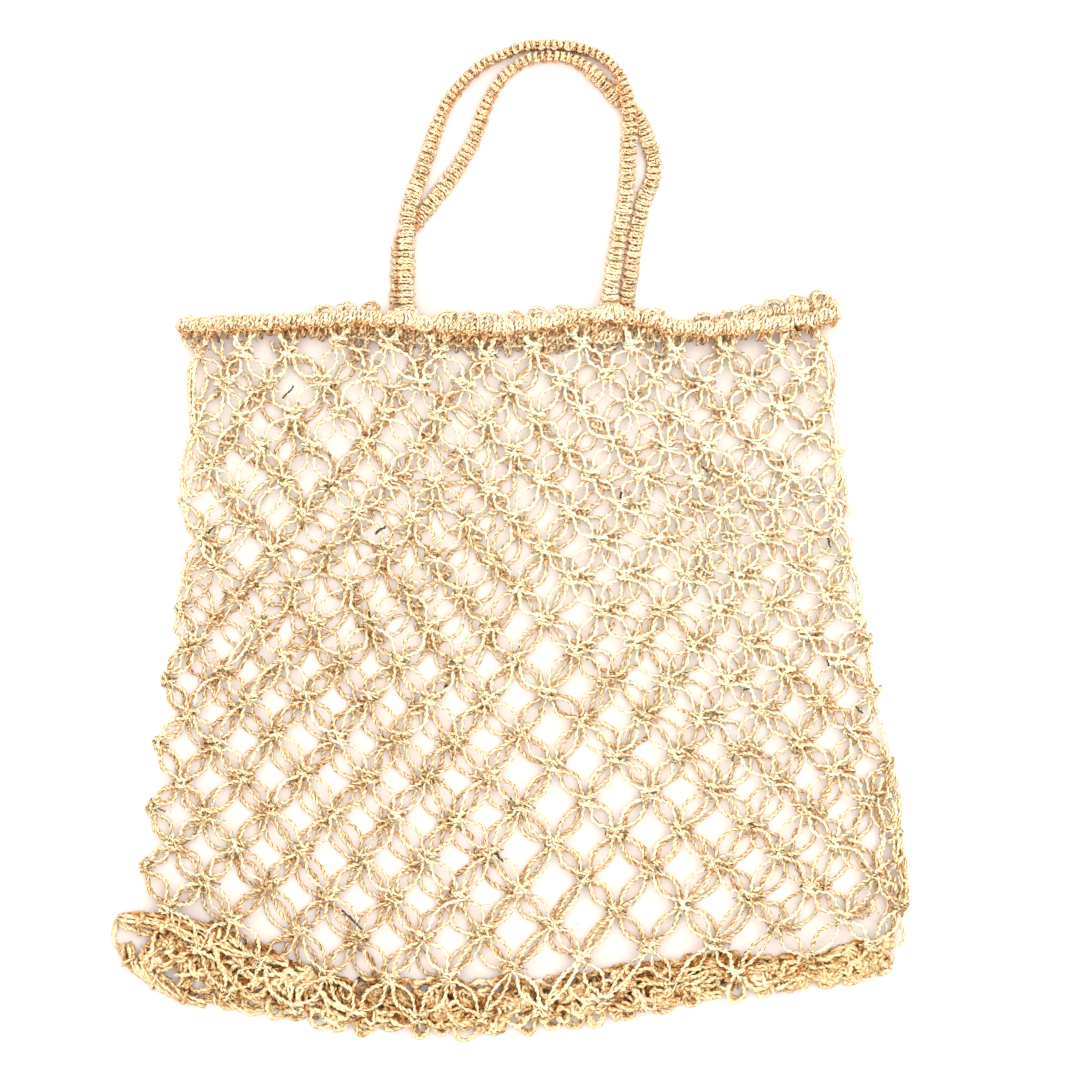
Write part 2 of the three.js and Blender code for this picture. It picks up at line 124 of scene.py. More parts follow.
# Handle routes: x, y, height of the strap's lower side, turn from lying flat to standing on edge
FRONT_HANDLE = np.array([
    (-59, 127.5, 10.2, 0), (-59.2, 140, 10, 0), (-59.2, 162, 8.6, 4), (-58.1, 184, 7, 15),
    (-50.8, 207, 1.2, 35), (-43.5, 228.5, 0, 55), (-35.1, 247.5, 0, 72), (-18.3, 265.6, 0, 88),
    (4.1, 276, 0, 90), (15.3, 277.4, 0, 90), (26.5, 277.4, 0, 90), (37.7, 275.6, 0, 90),
    (48.9, 271, 1.5, 88), (57.8, 262.1, 5.2, 76), (63.4, 249.2, 7, 60), (65.1, 235.2, 7, 42),
    (64.5, 212.8, 6.4, 24), (62.9, 190.4, 6.6, 10), (58.4, 165, 7.8, 0), (54.5, 140, 10, 0),
    (54.2, 130, 10.2, 0),
], float)
BACK_HANDLE = np.array([
    (-64.4, 120.8, 0, 0), (-64.2, 134, 0, 0), (-63.8, 162, 0, 0), (-59.4, 173, 0, 4),
    (-49.7, 184, 0, 12), (-34, 204.4, 0, 35), (-22.3, 224, 0, 55), (-15.5, 242.5, 0, 72),
    (-7.1, 257.7, 0, 85), (5, 267.8, 0, 90), (15.3, 270.9, 0, 90), (26.5, 271, 0, 90),
    (34.9, 268.8, 0, 84), (43.3, 263.2, 0, 60), (52, 254.6, 0, 30), (59.5, 247, 0, 8),
    (71.3, 235.2, 0, 0), (78, 216, 0, 12), (78.6, 204.4, 0, 14), (73.4, 190.4, 0, 8), (69, 172.5, 0, 0),
    (66, 150, 0, 0), (63.6, 134, 0, 0), (63.4, 120.2, 0, 0),
], float)

# Charred fibres in the cord, by their two picture ends and the height of the cord that they lie on
CHARRED = (
    (342, 909, 353, 919, 12.6), (350, 914, 363, 928, 12.8), (855, 706, 862, 713, 9),
    (742, 690, 750, 688, 10), (827, 538, 830, 547, 9), (826, 660, 829, 666, 9),
    (283, 399, 294, 386, 10), (203, 540, 215, 527, 9), (376, 534, 386, 526, 10),
    (620, 498, 622, 492, 10), (496, 852, 503, 861, 11), (702, 466, 707, 472, 10),
)

# Kinds of cord: half width, half thickness, length of one turn, mean tone, how far tones spread, and
# the rings of points along each (0 where they follow from its length)
CORDS = {
    "net": (1.26, 0.84, 7.4, 0.56, 0.17, 41),
    "fold": (1.15, 0.8, 7.4, 0.56, 0.17, 26),
    "stray": (1.15, 0.8, 7.4, 0.54, 0.2, 30),
    # The back net's tone is lower than the front net's: painted shade for the layer that lies under the
    # front.
    "back net": (1.36, 0.9, 7.4, 0.5, 0.17, 23),
    "knot crossing": (1.2, 0.7, 7.4, 0.52, 0.3, 9),
    "knot stub": (0.8, 0.32, 7.4, 0.4, 0.34, 4),
    "knot speck": (0.42, 0.3, 7.4, -0.45, 0.2, 3),
    "charred": (0.72, 0.42, 4, 0.5, 0.16, 12),
    "hair": (0.24, 0.15, 7.4, 0.62, 0.15, 4),
    "bar wrap": (1.36, 0.9, 5.5, 0.56, 0.2, 19),
    # The bar core and bar bead tones are lower than the wraps': painted shade in the gaps between wraps
    # and along the bar's lower edge.
    "bar core": (1.46, 0.98, 7.4, 0.45, 0.1, 240),
    "bar bead": (1.2, 0.85, 7.4, 0.3, 0.26, 8),
    "bar end": (1.15, 0.8, 7.4, 0.42, 0.22, 9),
    "bar bump": (1.15, 0.85, 7.4, 0.56, 0.16, 9),
    "picot": (1.15, 0.8, 7.4, 0.62, 0.16, 20),
    "picot hitch": (1.1, 0.8, 7.4, 0.6, 0.16, 9),
    "foot": (1.3, 0.95, 7.4, 0.58, 0.14, 20),
    "strap wrap": (1.0, 0.74, 6, 0.56, 0.15, 24),
    # The strap core's tone is lower than the wraps': painted shade in the slits between them.
    "strap core": (1.1, 0.8, 7.4, 0.36, 0.08, 420),
    "strap lock": (1.05, 0.75, 7.4, 0.5, 0.14, 6),
    "base net": (1.72, 1.15, 10.5, 0.52, 0.24, 22),
    "base pair": (1.7, 1.15, 10.5, 0.48, 0.24, 0),
    "base loop": (1.5, 1.05, 7.4, 0.52, 0.18, 24),
    "bundle": (1.36, 0.9, 9, 0.56, 0.22, 0),
    "binding": (1.35, 0.95, 7.4, 0.62, 0.16, 26),
}

# Net: half columns of knots round the bag and across its front, and the last row of each part
ROUND = 48
FRONT_HALF_COLUMNS = 24
LAST_UPPER_ROW = 8
LAST_FRONT_ROW = 19
LAST_BACK_ROW = 18
LAST_FOLDED_ROW = 24
NET_UNDER_BAR = 3.0
LEG_REACH = 5.4
KNOT_INSET = 2.6
FOLDED_KNOT = 0.62
STRAND_LENGTH = 22.6

# Heights of the nets' middles above the surface, and what they gain at the bars and over the base
FRONT_HEIGHT = 9.1
FRONT_RISE_AT_BAR = 3.7
FRONT_RISE_AT_BASE = 5.2
BACK_HEIGHT = 3.4
BACK_RISE_AT_BAR = 1.1

# Base: cords along the roll, and the lowest that a cord's middle lies in it
ROLL_PAIRS = 34
LOWEST_IN_BASE = 1.4

# Loose fibres that stand out from the cord
HAIRS = 1800

# Places of a straw's five colours between its darkest and its palest
STRAW_STOPS = (0, 0.24, 0.5, 0.76, 1)

# Seeds of the random draws
NET_SEED = 21
CORD_SEED = 5

UP = np.array([0, 0, 1.0])


def smooth(low, high, value):
    """0 below low, 1 above high and an even ease between."""
    t = np.clip((value - low) / (high - low), 0, 1)
    return t * t * (3 - 2 * t)


def plan(points):
    """Picture points in the plan's millimetres."""
    points = np.asarray(points, float)
    return (points - PLAN_ORIGIN) * (MM_PER_PIXEL, -MM_PER_PIXEL)


def curve_of(places, values):
    """A smooth function that has the values at the places."""
    order = np.argsort(places)
    places, values = np.asarray(places)[order], np.asarray(values)[order]
    slopes = np.gradient(values, places)

    def at(place):
        place = np.clip(place, places[0], places[-1])
        i = np.clip(np.searchsorted(places, place, side="right") - 1, 0, len(places) - 2)
        span = places[i + 1] - places[i]
        t = (place - places[i]) / span
        rest = 1 - t
        ends = values[i] * rest * rest * (1 + 2 * t) + values[i + 1] * t * t * (3 - 2 * t)
        return ends + span * t * rest * (slopes[i] * rest - slopes[i + 1] * t)

    return at


def curves_of(table):
    """A smooth function of a table's first column for each of its others."""
    return [curve_of(table[:, 0], column) for column in table.T[1:]]


front_bar, back_bar = curves_of(HEADINGS)
gather_top, gather_foot = curves_of(GATHER)
row_eighteen, row_drop = curves_of(LAST_ROWS)
(left_side,) = curves_of(plan(LEFT_EDGE)[:, ::-1])
(right_side,) = curves_of(plan(RIGHT_EDGE)[:, ::-1])


def splined(points, steps=6):
    """Dense points on smooth curves through (curves, points, 3) control points."""
    first = 2 * points[:, :1] - points[:, 1:2]
    last = 2 * points[:, -1:] - points[:, -2:-1]
    p = np.concatenate([first, points, last], 1)
    a, b, c, d = (p[:, i : p.shape[1] - 3 + i, None, :] for i in range(4))
    t = np.linspace(0, 1, steps, endpoint=False)[None, None, :, None]
    bend = (2 * a - 5 * b + 4 * c - d) * t**2
    dense = 0.5 * (2 * b + (c - a) * t + bend + (3 * b - a - 3 * c + d) * t**3)
    return np.concatenate([dense.reshape(len(points), -1, 3), points[:, -1:]], 1)


def evenly(dense, count):
    """Points at equal distances along each curve, and how far along it each dense point lies."""
    steps = np.linalg.norm(np.diff(dense, axis=1), axis=2)
    travelled = np.concatenate([np.zeros((len(dense), 1)), np.cumsum(steps, 1)], 1)
    even = np.empty((len(dense), count, 3))
    for i, (route, way) in enumerate(zip(dense, travelled)):
        marks = np.linspace(0, way[-1], count)
        for axis in range(3):
            even[i, :, axis] = np.interp(marks, way, route[:, axis])
    return even, travelled


def unit(vectors):
    """The vectors, each scaled to a length of 1."""
    return vectors / np.maximum(np.linalg.norm(vectors, axis=-1, keepdims=True), 1e-9)


def skin(cords, rings, first):
    """Corner numbers of the cords' faces, four round each cord and a cap at each end."""
    strip = np.array([(s, (s + 1) % 4, (s + 1) % 4 + 4, s + 4) for s in range(4)])
    sides = (strip + np.arange(rings - 1)[:, None, None] * 4).reshape(-1, 4)
    one = np.concatenate([sides, [(3, 2, 1, 0)], [(rings - 1) * 4 + np.arange(4)]])
    return (one + first + np.arange(cords)[:, None, None] * rings * 4).reshape(-1, 4)


class Cordage:
    """Twisted cords gathered into one mesh."""

    LOWEST = 0.05
    UNEVEN_TURNS = 0.14
    UNEVEN_GIRTH = 0.09
    LONGEST_SHIFT = 900

    def __init__(self, rng):
        self.rng = rng
        self.points, self.middles, self.quads, self.uvs, self.tones = [], [], [], [], []
        self.count = 0

    def add(self, kind, routes, rings=0):
        """Cords of a kind through (cords, points, 3) control points."""
        wide, thin, pitch, tone, spread, usual_rings = CORDS[kind]
        rings = rings or usual_rings
        middle, ways = evenly(splined(np.asarray(routes, float)), rings)
        cords = len(middle)
        way = ways[:, -1:] * np.linspace(0, 1, rings)
        self.points.append(self.twisted(middle, way, wide, thin, pitch).reshape(-1, 3))
        self.quads.append(skin(cords, rings, self.count))
        self.uvs.append(self.unrolled(way))
        self.middles.append(middle.reshape(-1, 3))
        tones = np.clip(self.rng.normal(tone, spread, (cords, 1)), -1, 1)
        self.tones.append(np.repeat(tones, rings * 4, 1).ravel())
        self.count += cords * rings * 4

    def twisted(self, middle, way, wide, thin, pitch):
        """Four corners of each ring. Two plies make a flat section that turns along the cord."""
        forward = unit(np.gradient(middle, axis=1))
        normal = np.empty_like(forward)
        normal[:, 0] = unit(np.cross(forward[:, 0], np.array([0.31, 0.22, 0.92])))
        for k in range(1, forward.shape[1]):
            before, ahead = normal[:, k - 1], forward[:, k]
            normal[:, k] = unit(before - (before * ahead).sum(1, keepdims=True) * ahead)
        side = np.cross(forward, normal)
        cords = (len(middle), 1)
        begin = self.rng.uniform(0, 2 * math.pi, cords)
        turns = way * (2 * math.pi / pitch) * self.rng.normal(1, self.UNEVEN_TURNS, cords)
        spin = begin + turns + 0.7 * np.sin(way * 0.31 + begin * 2) + 0.35 * np.sin(way * 0.83 + begin * 5)
        swell = 1 + 0.17 * np.sin(way * 1.1 + begin * 3) * np.sin(way * 0.43 + begin)
        own = self.rng.normal(1, self.UNEVEN_GIRTH, cords)
        corners = np.empty((*way.shape, 4, 3))
        for corner in range(4):
            radius = ((wide, thin)[corner % 2] * swell * own)[..., None]
            angle = (spin + corner * math.pi / 2)[..., None]
            corners[:, :, corner] = middle + radius * (np.cos(angle) * normal + np.sin(angle) * side)
        return corners

    def unrolled(self, way):
        """Texture places of the faces: the way along the cord, and the share of the way round it."""
        cords, rings = way.shape
        sides = np.empty((cords, rings - 1, 4, 4, 2))
        sides[..., 0] = way[:, np.arange(rings - 1)[:, None] + (0, 0, 1, 1)][:, :, None]
        sides[..., 1] = (np.arange(4)[:, None] + (0, 1, 1, 0)) / 4
        cap_places = np.zeros((cords, 8, 2))
        places = np.concatenate([sides.reshape(cords, -1, 2), cap_places], 1)
        places[..., 0] += self.rng.uniform(0, self.LONGEST_SHIFT, (cords, 1))
        return places.reshape(-1, 2)

    def build(self, name, material, relief=None, shade_depth=1.0, shade=None, pale=None):
        """The cords' mesh. Relief gives how deep each point lies among the cords around it; that, and any
        shade given, is painted into the colour as shade.
        """
        plan_points = np.concatenate(self.points)
        plan_points[:, 2] = np.maximum(plan_points[:, 2], self.LOWEST)
        mesh = bpy.data.meshes.new(name)
        mesh.from_pydata((plan_points + CENTRING) * MM, [], np.concatenate(self.quads))
        uv = mesh.uv_layers.new(name="cord")
        uv.data.foreach_set("uv", np.concatenate(self.uvs).ravel().astype(np.float32))
        tones = np.concatenate(self.tones)
        # Painted light and shade: pale raises or lowers the tone by place.
        if pale is not None:
            tones = tones + pale(plan_points)
        set_values(mesh, "tone", tones)
        if relief is not None:
            # Painted shade: points deep among or under cords are coloured darker and browner.
            nooks = relief.depth_of(plan_points) * shade_depth
            if shade is not None:
                nooks = np.maximum(nooks, shade(plan_points))
            set_values(mesh, "nook_shade", nooks)
        mesh.shade_smooth()
        mesh.materials.append(material)
        piece = bpy.data.objects.new(name, mesh)
        bpy.context.scene.collection.objects.link(piece)
        return piece


def set_values(mesh, name, values):
    """One number for each point of a mesh, for its material to read."""
    attribute = mesh.attributes.new(name, "FLOAT", "POINT")
    attribute.data.foreach_set("value", values.astype(np.float32))


class Relief:
    """A map of how high the cords stand, to tell what lies deep between and under them, where shade is
    painted into the straw's colour.
    """

    CELL = 0.6
    LOW = np.array([-235.0, -295.0])
    SIZE = (800, 1000)
    CORD_STEPS = (-1.1, -0.6, 0, 0.6, 1.1)
    CORD_REACH = 1.3
    CORD_TOP = 0.9
    RINGS = ((0.7, 6), (1.6, 10), (2.6, 14), (3.6, 16))
    STARTS_BELOW = 0.5
    DEEPEST = 3.0

    def __init__(self, cordages):
        self.height = np.zeros(self.SIZE)
        middles = np.concatenate([part for cordage in cordages for part in cordage.middles])
        for dx in self.CORD_STEPS:
            for dy in self.CORD_STEPS:
                if math.hypot(dx, dy) < self.CORD_REACH:
                    x, y = self.cell(middles[:, :2] + np.array([dx, dy]))
                    np.maximum.at(self.height, (x, y), middles[:, 2] + self.CORD_TOP)

    def cell(self, places):
        index = ((places - self.LOW) / self.CELL).astype(int)
        return np.clip(index[:, 0], 0, self.SIZE[0] - 1), np.clip(index[:, 1], 0, self.SIZE[1] - 1)

    def depth_of(self, points):
        """0 in the open, towards 1 deep among and under other cords, where the most shade is painted."""
        total = np.zeros(len(points))
        for radius, count in self.RINGS:
            for k in range(count):
                angle = 2 * math.pi * k / count
                shift = radius * np.array([math.cos(angle), math.sin(angle)])
                x, y = self.cell(points[:, :2] + shift)
                above = self.height[x, y] - points[:, 2] - self.STARTS_BELOW
                total += np.clip(above / self.DEEPEST, 0, 1)
        spots = sum(count for radius, count in self.RINGS)
        return smooth(0.14, 0.78, total / spots)


def fold_columns(row):
    """The half columns on the bag's left and right folds at a row."""
    shift = 1.5 * (1 - smooth(1, 11, row))
    return -shift, FRONT_HALF_COLUMNS + shift


def row_share(row):
    """How far down the body a row of knots lies, 0 at the bar and 1 at the eighteenth row."""
    return 0.032 + 0.0569 * (row - 1) - 0.03 * math.sin(math.pi * (row - 1) / 17)


def level(x, row, bar):
    """Plan height of a row of knots at x."""
    if row > 18:
        return row_eighteen(x) - row_drop(x) * (row - 18)
    top = front_bar(x) - NET_UNDER_BAR
    share = max(row_share(row), 0) if row > 0 else 0
    share = share + 0.06 * math.sin(math.pi * min(share, 1)) * smooth(-120, -195, x)
    return top + (row_eighteen(x) - top) * share + (bar(x) - front_bar(x)) * smooth(0.6, 0, share)


def front_rise(x, y):
    """Height of the front net's middle above the surface."""
    near_bar = smooth(-40, 0, y - (front_bar(x) - BAR_HEIGHT / 2))
    near_base = smooth(32, -4, y - gather_top(x))
    return FRONT_HEIGHT + FRONT_RISE_AT_BAR * near_bar + FRONT_RISE_AT_BASE * near_base


def back_rise(x, y):
    """Height of the back net's middle above the surface."""
    near_bar = smooth(-25, 0, y - (back_bar(x) - BAR_HEIGHT / 2))
    return BACK_HEIGHT + BACK_RISE_AT_BAR * near_bar


def even_place(row, share, bar):
    """Where a knot of an evenly made net lies, by its share of the way from left fold to right fold."""
    x, y = 0.0, 0.0
    for _ in range(4):
        left, right = left_side(y) + KNOT_INSET, right_side(y) - KNOT_INSET
        x = left + (right - left) * share
        y = level(x, min(row, LAST_FRONT_ROW), bar)
    return x, y


def back_shift(x, y, column, row, share, inner):
    """How far a knot of the back net has slid, region by region of the bag."""
    right = smooth(70, 125, x) * smooth(6, 12, row) * smooth(215, 185, x)
    left = smooth(-90, -150, x) * smooth(12, 6, row) * smooth(-186, -172, x)
    half_step = smooth(-176, -140, x) * smooth(20, -25, x) * smooth(85, 50, y) * smooth(-80, -35, y)
    lower_left = smooth(60, -20, x) * smooth(-25, -60, y) * smooth(0, 0.1, share) * smooth(1, 0.9, share)
    middle = smooth(5, 40, x) * smooth(150, 105, x) * smooth(40, 5, y) * smooth(-165, -105, y)
    sway = 1.5 * inner * (1 - half_step) * math.sin(0.4 * row + 0.3 * column)
    dx = 6.5 * right - 6 * left + 7.2 * half_step - 5.6 * lower_left + 5.4 * middle + sway
    dy = -3 * right - 7 * left - 9.3 * half_step - 4.6 * lower_left + 3.6 * middle
    return dx, dy


class Net:
    """Places of all knots of the bag's net, a tube that lies flat."""

    def __init__(self, seed):
        self.rng = np.random.default_rng(seed)
        self.known = {}

    def knot(self, column, row):
        key = (column % ROUND, row)
        if key not in self.known:
            self.known[key] = self.placed(*key)
        return self.known[key]

    def side_share(self, column, row):
        """Whether a knot is on the front, and its share of the way from the left fold to the right one."""
        left, right = fold_columns(row)
        if column > left + ROUND:
            column -= ROUND
        if column <= right:
            return True, (column - left) / (right - left)
        return False, 1 - (column - right) / (ROUND - right + left)

    def placed(self, column, row):
        front, share = self.side_share(column, row)
        share = float(np.clip(share, 0.004, 0.996))
        x, y = even_place(row, share, front_bar if front else back_bar)
        jitter = self.rng.normal(0, 1, 3)
        past_free_rows = row > (LAST_FRONT_ROW if front else LAST_BACK_ROW)
        if past_free_rows or (row == 19 and x < -160) or (row == 18 and x < -180):
            return self.folded(x, front)
        inner = smooth(0, 0.05, share) * smooth(1, 0.95, share)
        loose = 1.1 + 0.9 * smooth(10, 3, row)
        x += jitter[0] * loose * inner * 0.8
        y += jitter[1] * loose * 0.62
        if not front:
            dx, dy = back_shift(x, y, column, row, share, inner)
            x, y = x + dx, y + dy
        rise = front_rise(x, y) if front else back_rise(x, y)
        between = (front_rise(x, y) + back_rise(x, y)) / 2
        open_share = smooth(0, 0.055, min(share, 1 - share))
        z = between + (rise - between + 0.35 * jitter[2]) * open_share
        return dict(place=np.array([x, y, z]), folded=False, front=front, edge=open_share < 0.6)

    def folded(self, x, front):
        """A knot somewhere in the gathered base, near x."""
        top, foot = gather_top(x), gather_foot(x)
        spread = self.rng.uniform(0.16, 0.86)
        x = np.clip(x + self.rng.uniform(-9, 9), -205, 208)
        height = BASE_HEIGHT * math.sqrt(max(1 - (2 * spread - 1) ** 2, 0.1))
        z = 2.6 + self.rng.uniform(0, 1) * max(height - 5.6, 0.5)
        place = np.array([x, top + (foot - top) * spread, z])
        return dict(place=place, folded=True, front=front, edge=False)


# Halves of a square knot's four cords: x across, y up and z towards the viewer, from the middle of
# the knot outwards
TIED = {
    "left_wrap_in": [(4.4, 0.5, -0.5), (4.2, 2.1, 0.8), (0.2, 2.0, 2.0), (-3.4, 3.2, 0.7)],
    "left_wrap_out": [(4.4, 0.5, -0.5), (0.8, -1.0, -1.7), (-3.2, -2.6, -0.5)],
    "right_wrap_in": [(-3.9, -0.8, 0.9), (-4.2, 1.0, -0.4), (-0.5, 1.9, -1.7), (3.4, 3.4, -0.3)],
    "right_wrap_out": [(-3.9, -0.8, 0.9), (-0.2, -2.1, 2.0), (3.4, -2.7, 0.6)],
    "left_core_in": [(-1.1, -0.1, 0.2), (-1.3, 2.9, 0.2)],
    "left_core_out": [(-1.1, -0.1, 0.2), (-1.3, -2.9, 0.2)],
    "right_core_in": [(1.1, 0.1, 0.2), (1.3, 2.9, 0.2)],
    "right_core_out": [(1.1, 0.1, 0.2), (1.3, -2.9, 0.2)],
}
MOST_TIED = 4

# Half knots that a leg's two strands leave and reach, and the side to which each strand bows
FALLING_LEFT = (("left_wrap_out", "right_core_in", 1), ("left_core_out", "right_wrap_in", -1))
FALLING_RIGHT = (("right_core_out", "left_wrap_in", 1), ("right_wrap_out", "left_core_in", -1))

# Share of a leg's way and share of its bow there
LEG_BOW = ((0, 0.3), (0.25, 0.8), (0.5, 1.0), (0.75, 0.8), (1, 0.3))

# How far a cord starts from its place's middle, along the bar
AT_BAR = {"left_wrap_out": -3.4, "left_core_out": -1.2, "right_core_out": 1.2, "right_wrap_out": 3.4}


def tied_half(knot, strand, turn, size):
    """Points of half a cord in a knot, in the plan, from the middle outwards."""
    points = np.array(TIED[strand], float) * size
    if knot["edge"]:
        points[:, 0] *= FOLDED_KNOT
    while len(points) < MOST_TIED:
        points = np.insert(points, 1, (points[0] + points[1]) / 2, axis=0)
    return points @ turned(turn).T + knot["place"]


def turned(angle):
    """The matrix of a turn in the plan."""
    cos, sin = math.cos(angle), math.sin(angle)
    return np.array([[cos, -sin, 0], [sin, cos, 0], [0, 0, 1]])


def bow_side(ahead, tangled, rng):
    """The direction, left of a leg and across it, in which its strands bow."""
    sideways = unit(np.cross(UP, ahead))
    if np.linalg.norm(sideways) < 0.5:
        sideways = np.array([1.0, 0, 0])
    if sideways[0] > 0:
        sideways = -sideways
    if tangled:
        tilt = rng.uniform(-1.2, 1.2)
        sideways = unit(sideways * math.cos(tilt) + np.cross(ahead, sideways) * math.sin(tilt))
    return sideways


def strand_pair(net, rng, start, end, falls_left, half_ways):
    """The two strands of one leg between two knots, with the half knots at its ends."""
    upper, lower = net.knot(*start), net.knot(*end)
    a, b = upper["place"], lower["place"]
    tangled = upper["folded"] or lower["folded"]
    length = max(np.linalg.norm(b - a), 1e-6)
    ahead = (b - a) / length
    sideways = bow_side(ahead, tangled, rng)
    reach = min(LEG_REACH, length * 0.3)
    free = max(length - 2 * reach, 2.0)
    slack = STRAND_LENGTH * rng.normal(1, 0.02) - free
    bow = math.sqrt(0.375 * free * max(slack, 0.6))
    bow = float(np.clip(bow, 2.6, 8.5 if tangled else min(0.33 * free, 4.7)))
    from_bar = start[1] == 0
    routes = []
    for leaving, arriving, away in FALLING_LEFT if falls_left else FALLING_RIGHT:
        begin = half_ways(start, leaving)
        finish = half_ways(end, arriving)[::-1]
        if from_bar:
            side = 1 if a[0] > b[0] else -1
            far = 8.0 if away * side > 0 else 3.4
            root = np.array([b[0] + side * far + rng.normal(0, 0.8), a[1] + 2.6, a[2]])
            begin = np.linspace(root, root + np.array([-side * 0.4, -4.0, 0]), MOST_TIED)
        own_bow = bow * rng.normal(1, 0.12)
        sag = rng.normal(0, 0.35) - 0.7
        lift = rng.normal(0, 1.6) if tangled else 0
        if from_bar:
            leg = np.linspace(begin[-1], finish[0], 7)[1:-1] + rng.normal(0, 0.4, (5, 3))
        else:
            leg = [
                a + ahead * (reach + free * t) + sideways * away * own_bow * share
                + UP * (sag + lift) * math.sin(math.pi * t)
                for t, share in LEG_BOW
            ]
        routes.append(np.concatenate([begin, leg, finish]))
    return routes, upper, lower


def kept_in_base(routes):
    """Base cords, pressed into the space of the roll."""
    x, y, z = routes[..., 0], routes[..., 1], routes[..., 2]
    routes[..., 0] = np.clip(x, -221, 212)
    uneven = 1.6 + 1.6 * np.sin(x * 0.19) + 1.2 * np.sin(x * 0.47 + 1)
    routes[..., 1] = np.clip(y, gather_foot(x) - 2.6, gather_top(x) - 0.6 - np.maximum(uneven, 0))
    routes[..., 2] = np.clip(z, 1.25, BASE_HEIGHT - 1.3)
    return routes


def net_routes(seed):
    """Routes of the net's cords, by the piece that they belong to, and its knots with their turns."""
    net = Net(seed)
    rng = np.random.default_rng(seed + 1)
    turns, sizes = {}, {}
    found = {"upper": [], "lower": [], "back": [], "base": []}

    def half_ways(place, strand):
        column, row = place[0] % ROUND, place[1]
        knot = net.knot(column, row)
        if row == 0:
            across = AT_BAR[strand] * 1.3
            root = knot["place"] + np.array([across, 3.0, 0])
            return np.linspace(root, knot["place"] + np.array([across * 0.8, -1.6, 0]), MOST_TIED)
        if (column, row) not in turns:
            turns[column, row] = rng.normal(0, 0.9 if knot["folded"] else 0.16)
            sizes[column, row] = rng.normal(1.04, 0.06)
        return tied_half(knot, strand, turns[column, row], sizes[column, row])

    for row in range(LAST_FOLDED_ROW):
        for column in range(row % 2, ROUND, 2):
            for step in (-1, 1):
                falls_left = (step < 0) == (column <= FRONT_HALF_COLUMNS)
                start, end = (column, row), (column + step, row + 1)
                pair, upper, lower = strand_pair(net, rng, start, end, falls_left, half_ways)
                if upper["folded"] or lower["folded"]:
                    found["base"] += [kept_in_base(route) for route in pair]
                elif not (upper["front"] and lower["front"]):
                    found["back"] += pair
                else:
                    found["upper" if row <= LAST_UPPER_ROW else "lower"] += pair
    return found, [(knot, turns[key]) for key, knot in net.known.items() if key in turns]


def fold_strands(knots, side, outward, top, foot, rng):
    """Cords that run down a fold of the bag from knot to knot."""
    places = [knot["place"] for knot, _ in knots if knot["edge"] and knot["place"][0] * outward > 0]
    places = sorted((place for place in places if foot < place[1] < top), key=lambda place: -place[1])
    strands = []
    t = np.linspace(0, 1, 12)
    arch = np.sin(math.pi * t)
    for i, a in enumerate(places):
        following = [b for b in places[i + 1 :] if 13 < a[1] - b[1] < 44][:2]
        for b in following:
            for share in (1.0, 0.45):
                strand = a + (b - a) * t[:, None]
                room = outward * (side(strand[:, 1]) - strand[:, 0]) - 1.2
                bow = np.maximum(room, 0.5) * share * rng.uniform(0.8, 1.0)
                strand[:, 0] += outward * bow * arch**0.7
                strand[:, 2] += 1.4 * rng.normal() * arch
                strands.append(strand + rng.normal(0, 0.2, (12, 3)))
    return np.array(strands)


def stray_strands(side, inward, top, foot, insets, rng):
    """Cords of the back net that lie beside a fold of the bag."""
    strands = []
    for inset in insets:
        y = top - rng.uniform(0, 12)
        while y > foot + 12:
            reach = rng.uniform(22, 38)
            places = np.linspace(y, max(y - reach, foot), 12)
            wave = 1.8 * np.sin(places * rng.uniform(0.2, 0.34) + rng.uniform(0, 6))
            drift = inset + wave + np.linspace(rng.uniform(-3, 3), rng.uniform(-3, 3), 12)
            x = side(places) + inward * np.maximum(drift, 1.4)
            z = rng.uniform(4.6, 8.4) + 0.8 * np.sin(places * 0.3 + rng.uniform(0, 6))
            strands.append(np.stack([x, places, z], -1))
            y -= reach * rng.uniform(0.7, 0.95)
    return np.array(strands)


def charred_cordage(rng):
    """Short charred fibres, each a little crooked between its two ends."""
    cordage = Cordage(rng)
    for x0, y0, x1, y1, z in CHARRED:
        ends = plan([(x0, y0), (x1, y1)])
        points = np.concatenate([np.linspace(ends[0], ends[1], 5), np.full((5, 1), z)], 1)
        points[1:4] += rng.normal(0, 0.35, (3, 3))
        cordage.add("charred", points[None])
    return cordage


def hair_cordage(hosts, rng):
    """Loose fibres that stand out from the cord."""
    hairs = []
    for _ in range(HAIRS):
        host = hosts[rng.integers(len(hosts))]
        at = rng.integers(2, host.shape[0] - 2)
        start = host[at]
        direction = unit(host[at + 1] - start + rng.normal(0, 1.6, 3) * np.array([1, 1, 0.4]))
        reach = rng.uniform(2.5, 6.5)
        bend = rng.normal(0, 0.7, 3)
        way = direction * reach
        hair = np.array([start, start + way * 0.5 + bend * 0.3, start + way + bend])
        hair[:, 2] = np.clip(hair[:, 2], 0.4, 16)
        hair[:, 1] = np.maximum(hair[:, 1], gather_foot(hair[:, 0]) - 4)
        hair[:, 0] = np.clip(hair[:, 0], left_side(hair[:, 1]) - 3, right_side(hair[:, 1]) + 3)
        hairs.append(hair)
    cordage = Cordage(rng)
    cordage.add("hair", hairs)
    return cordage


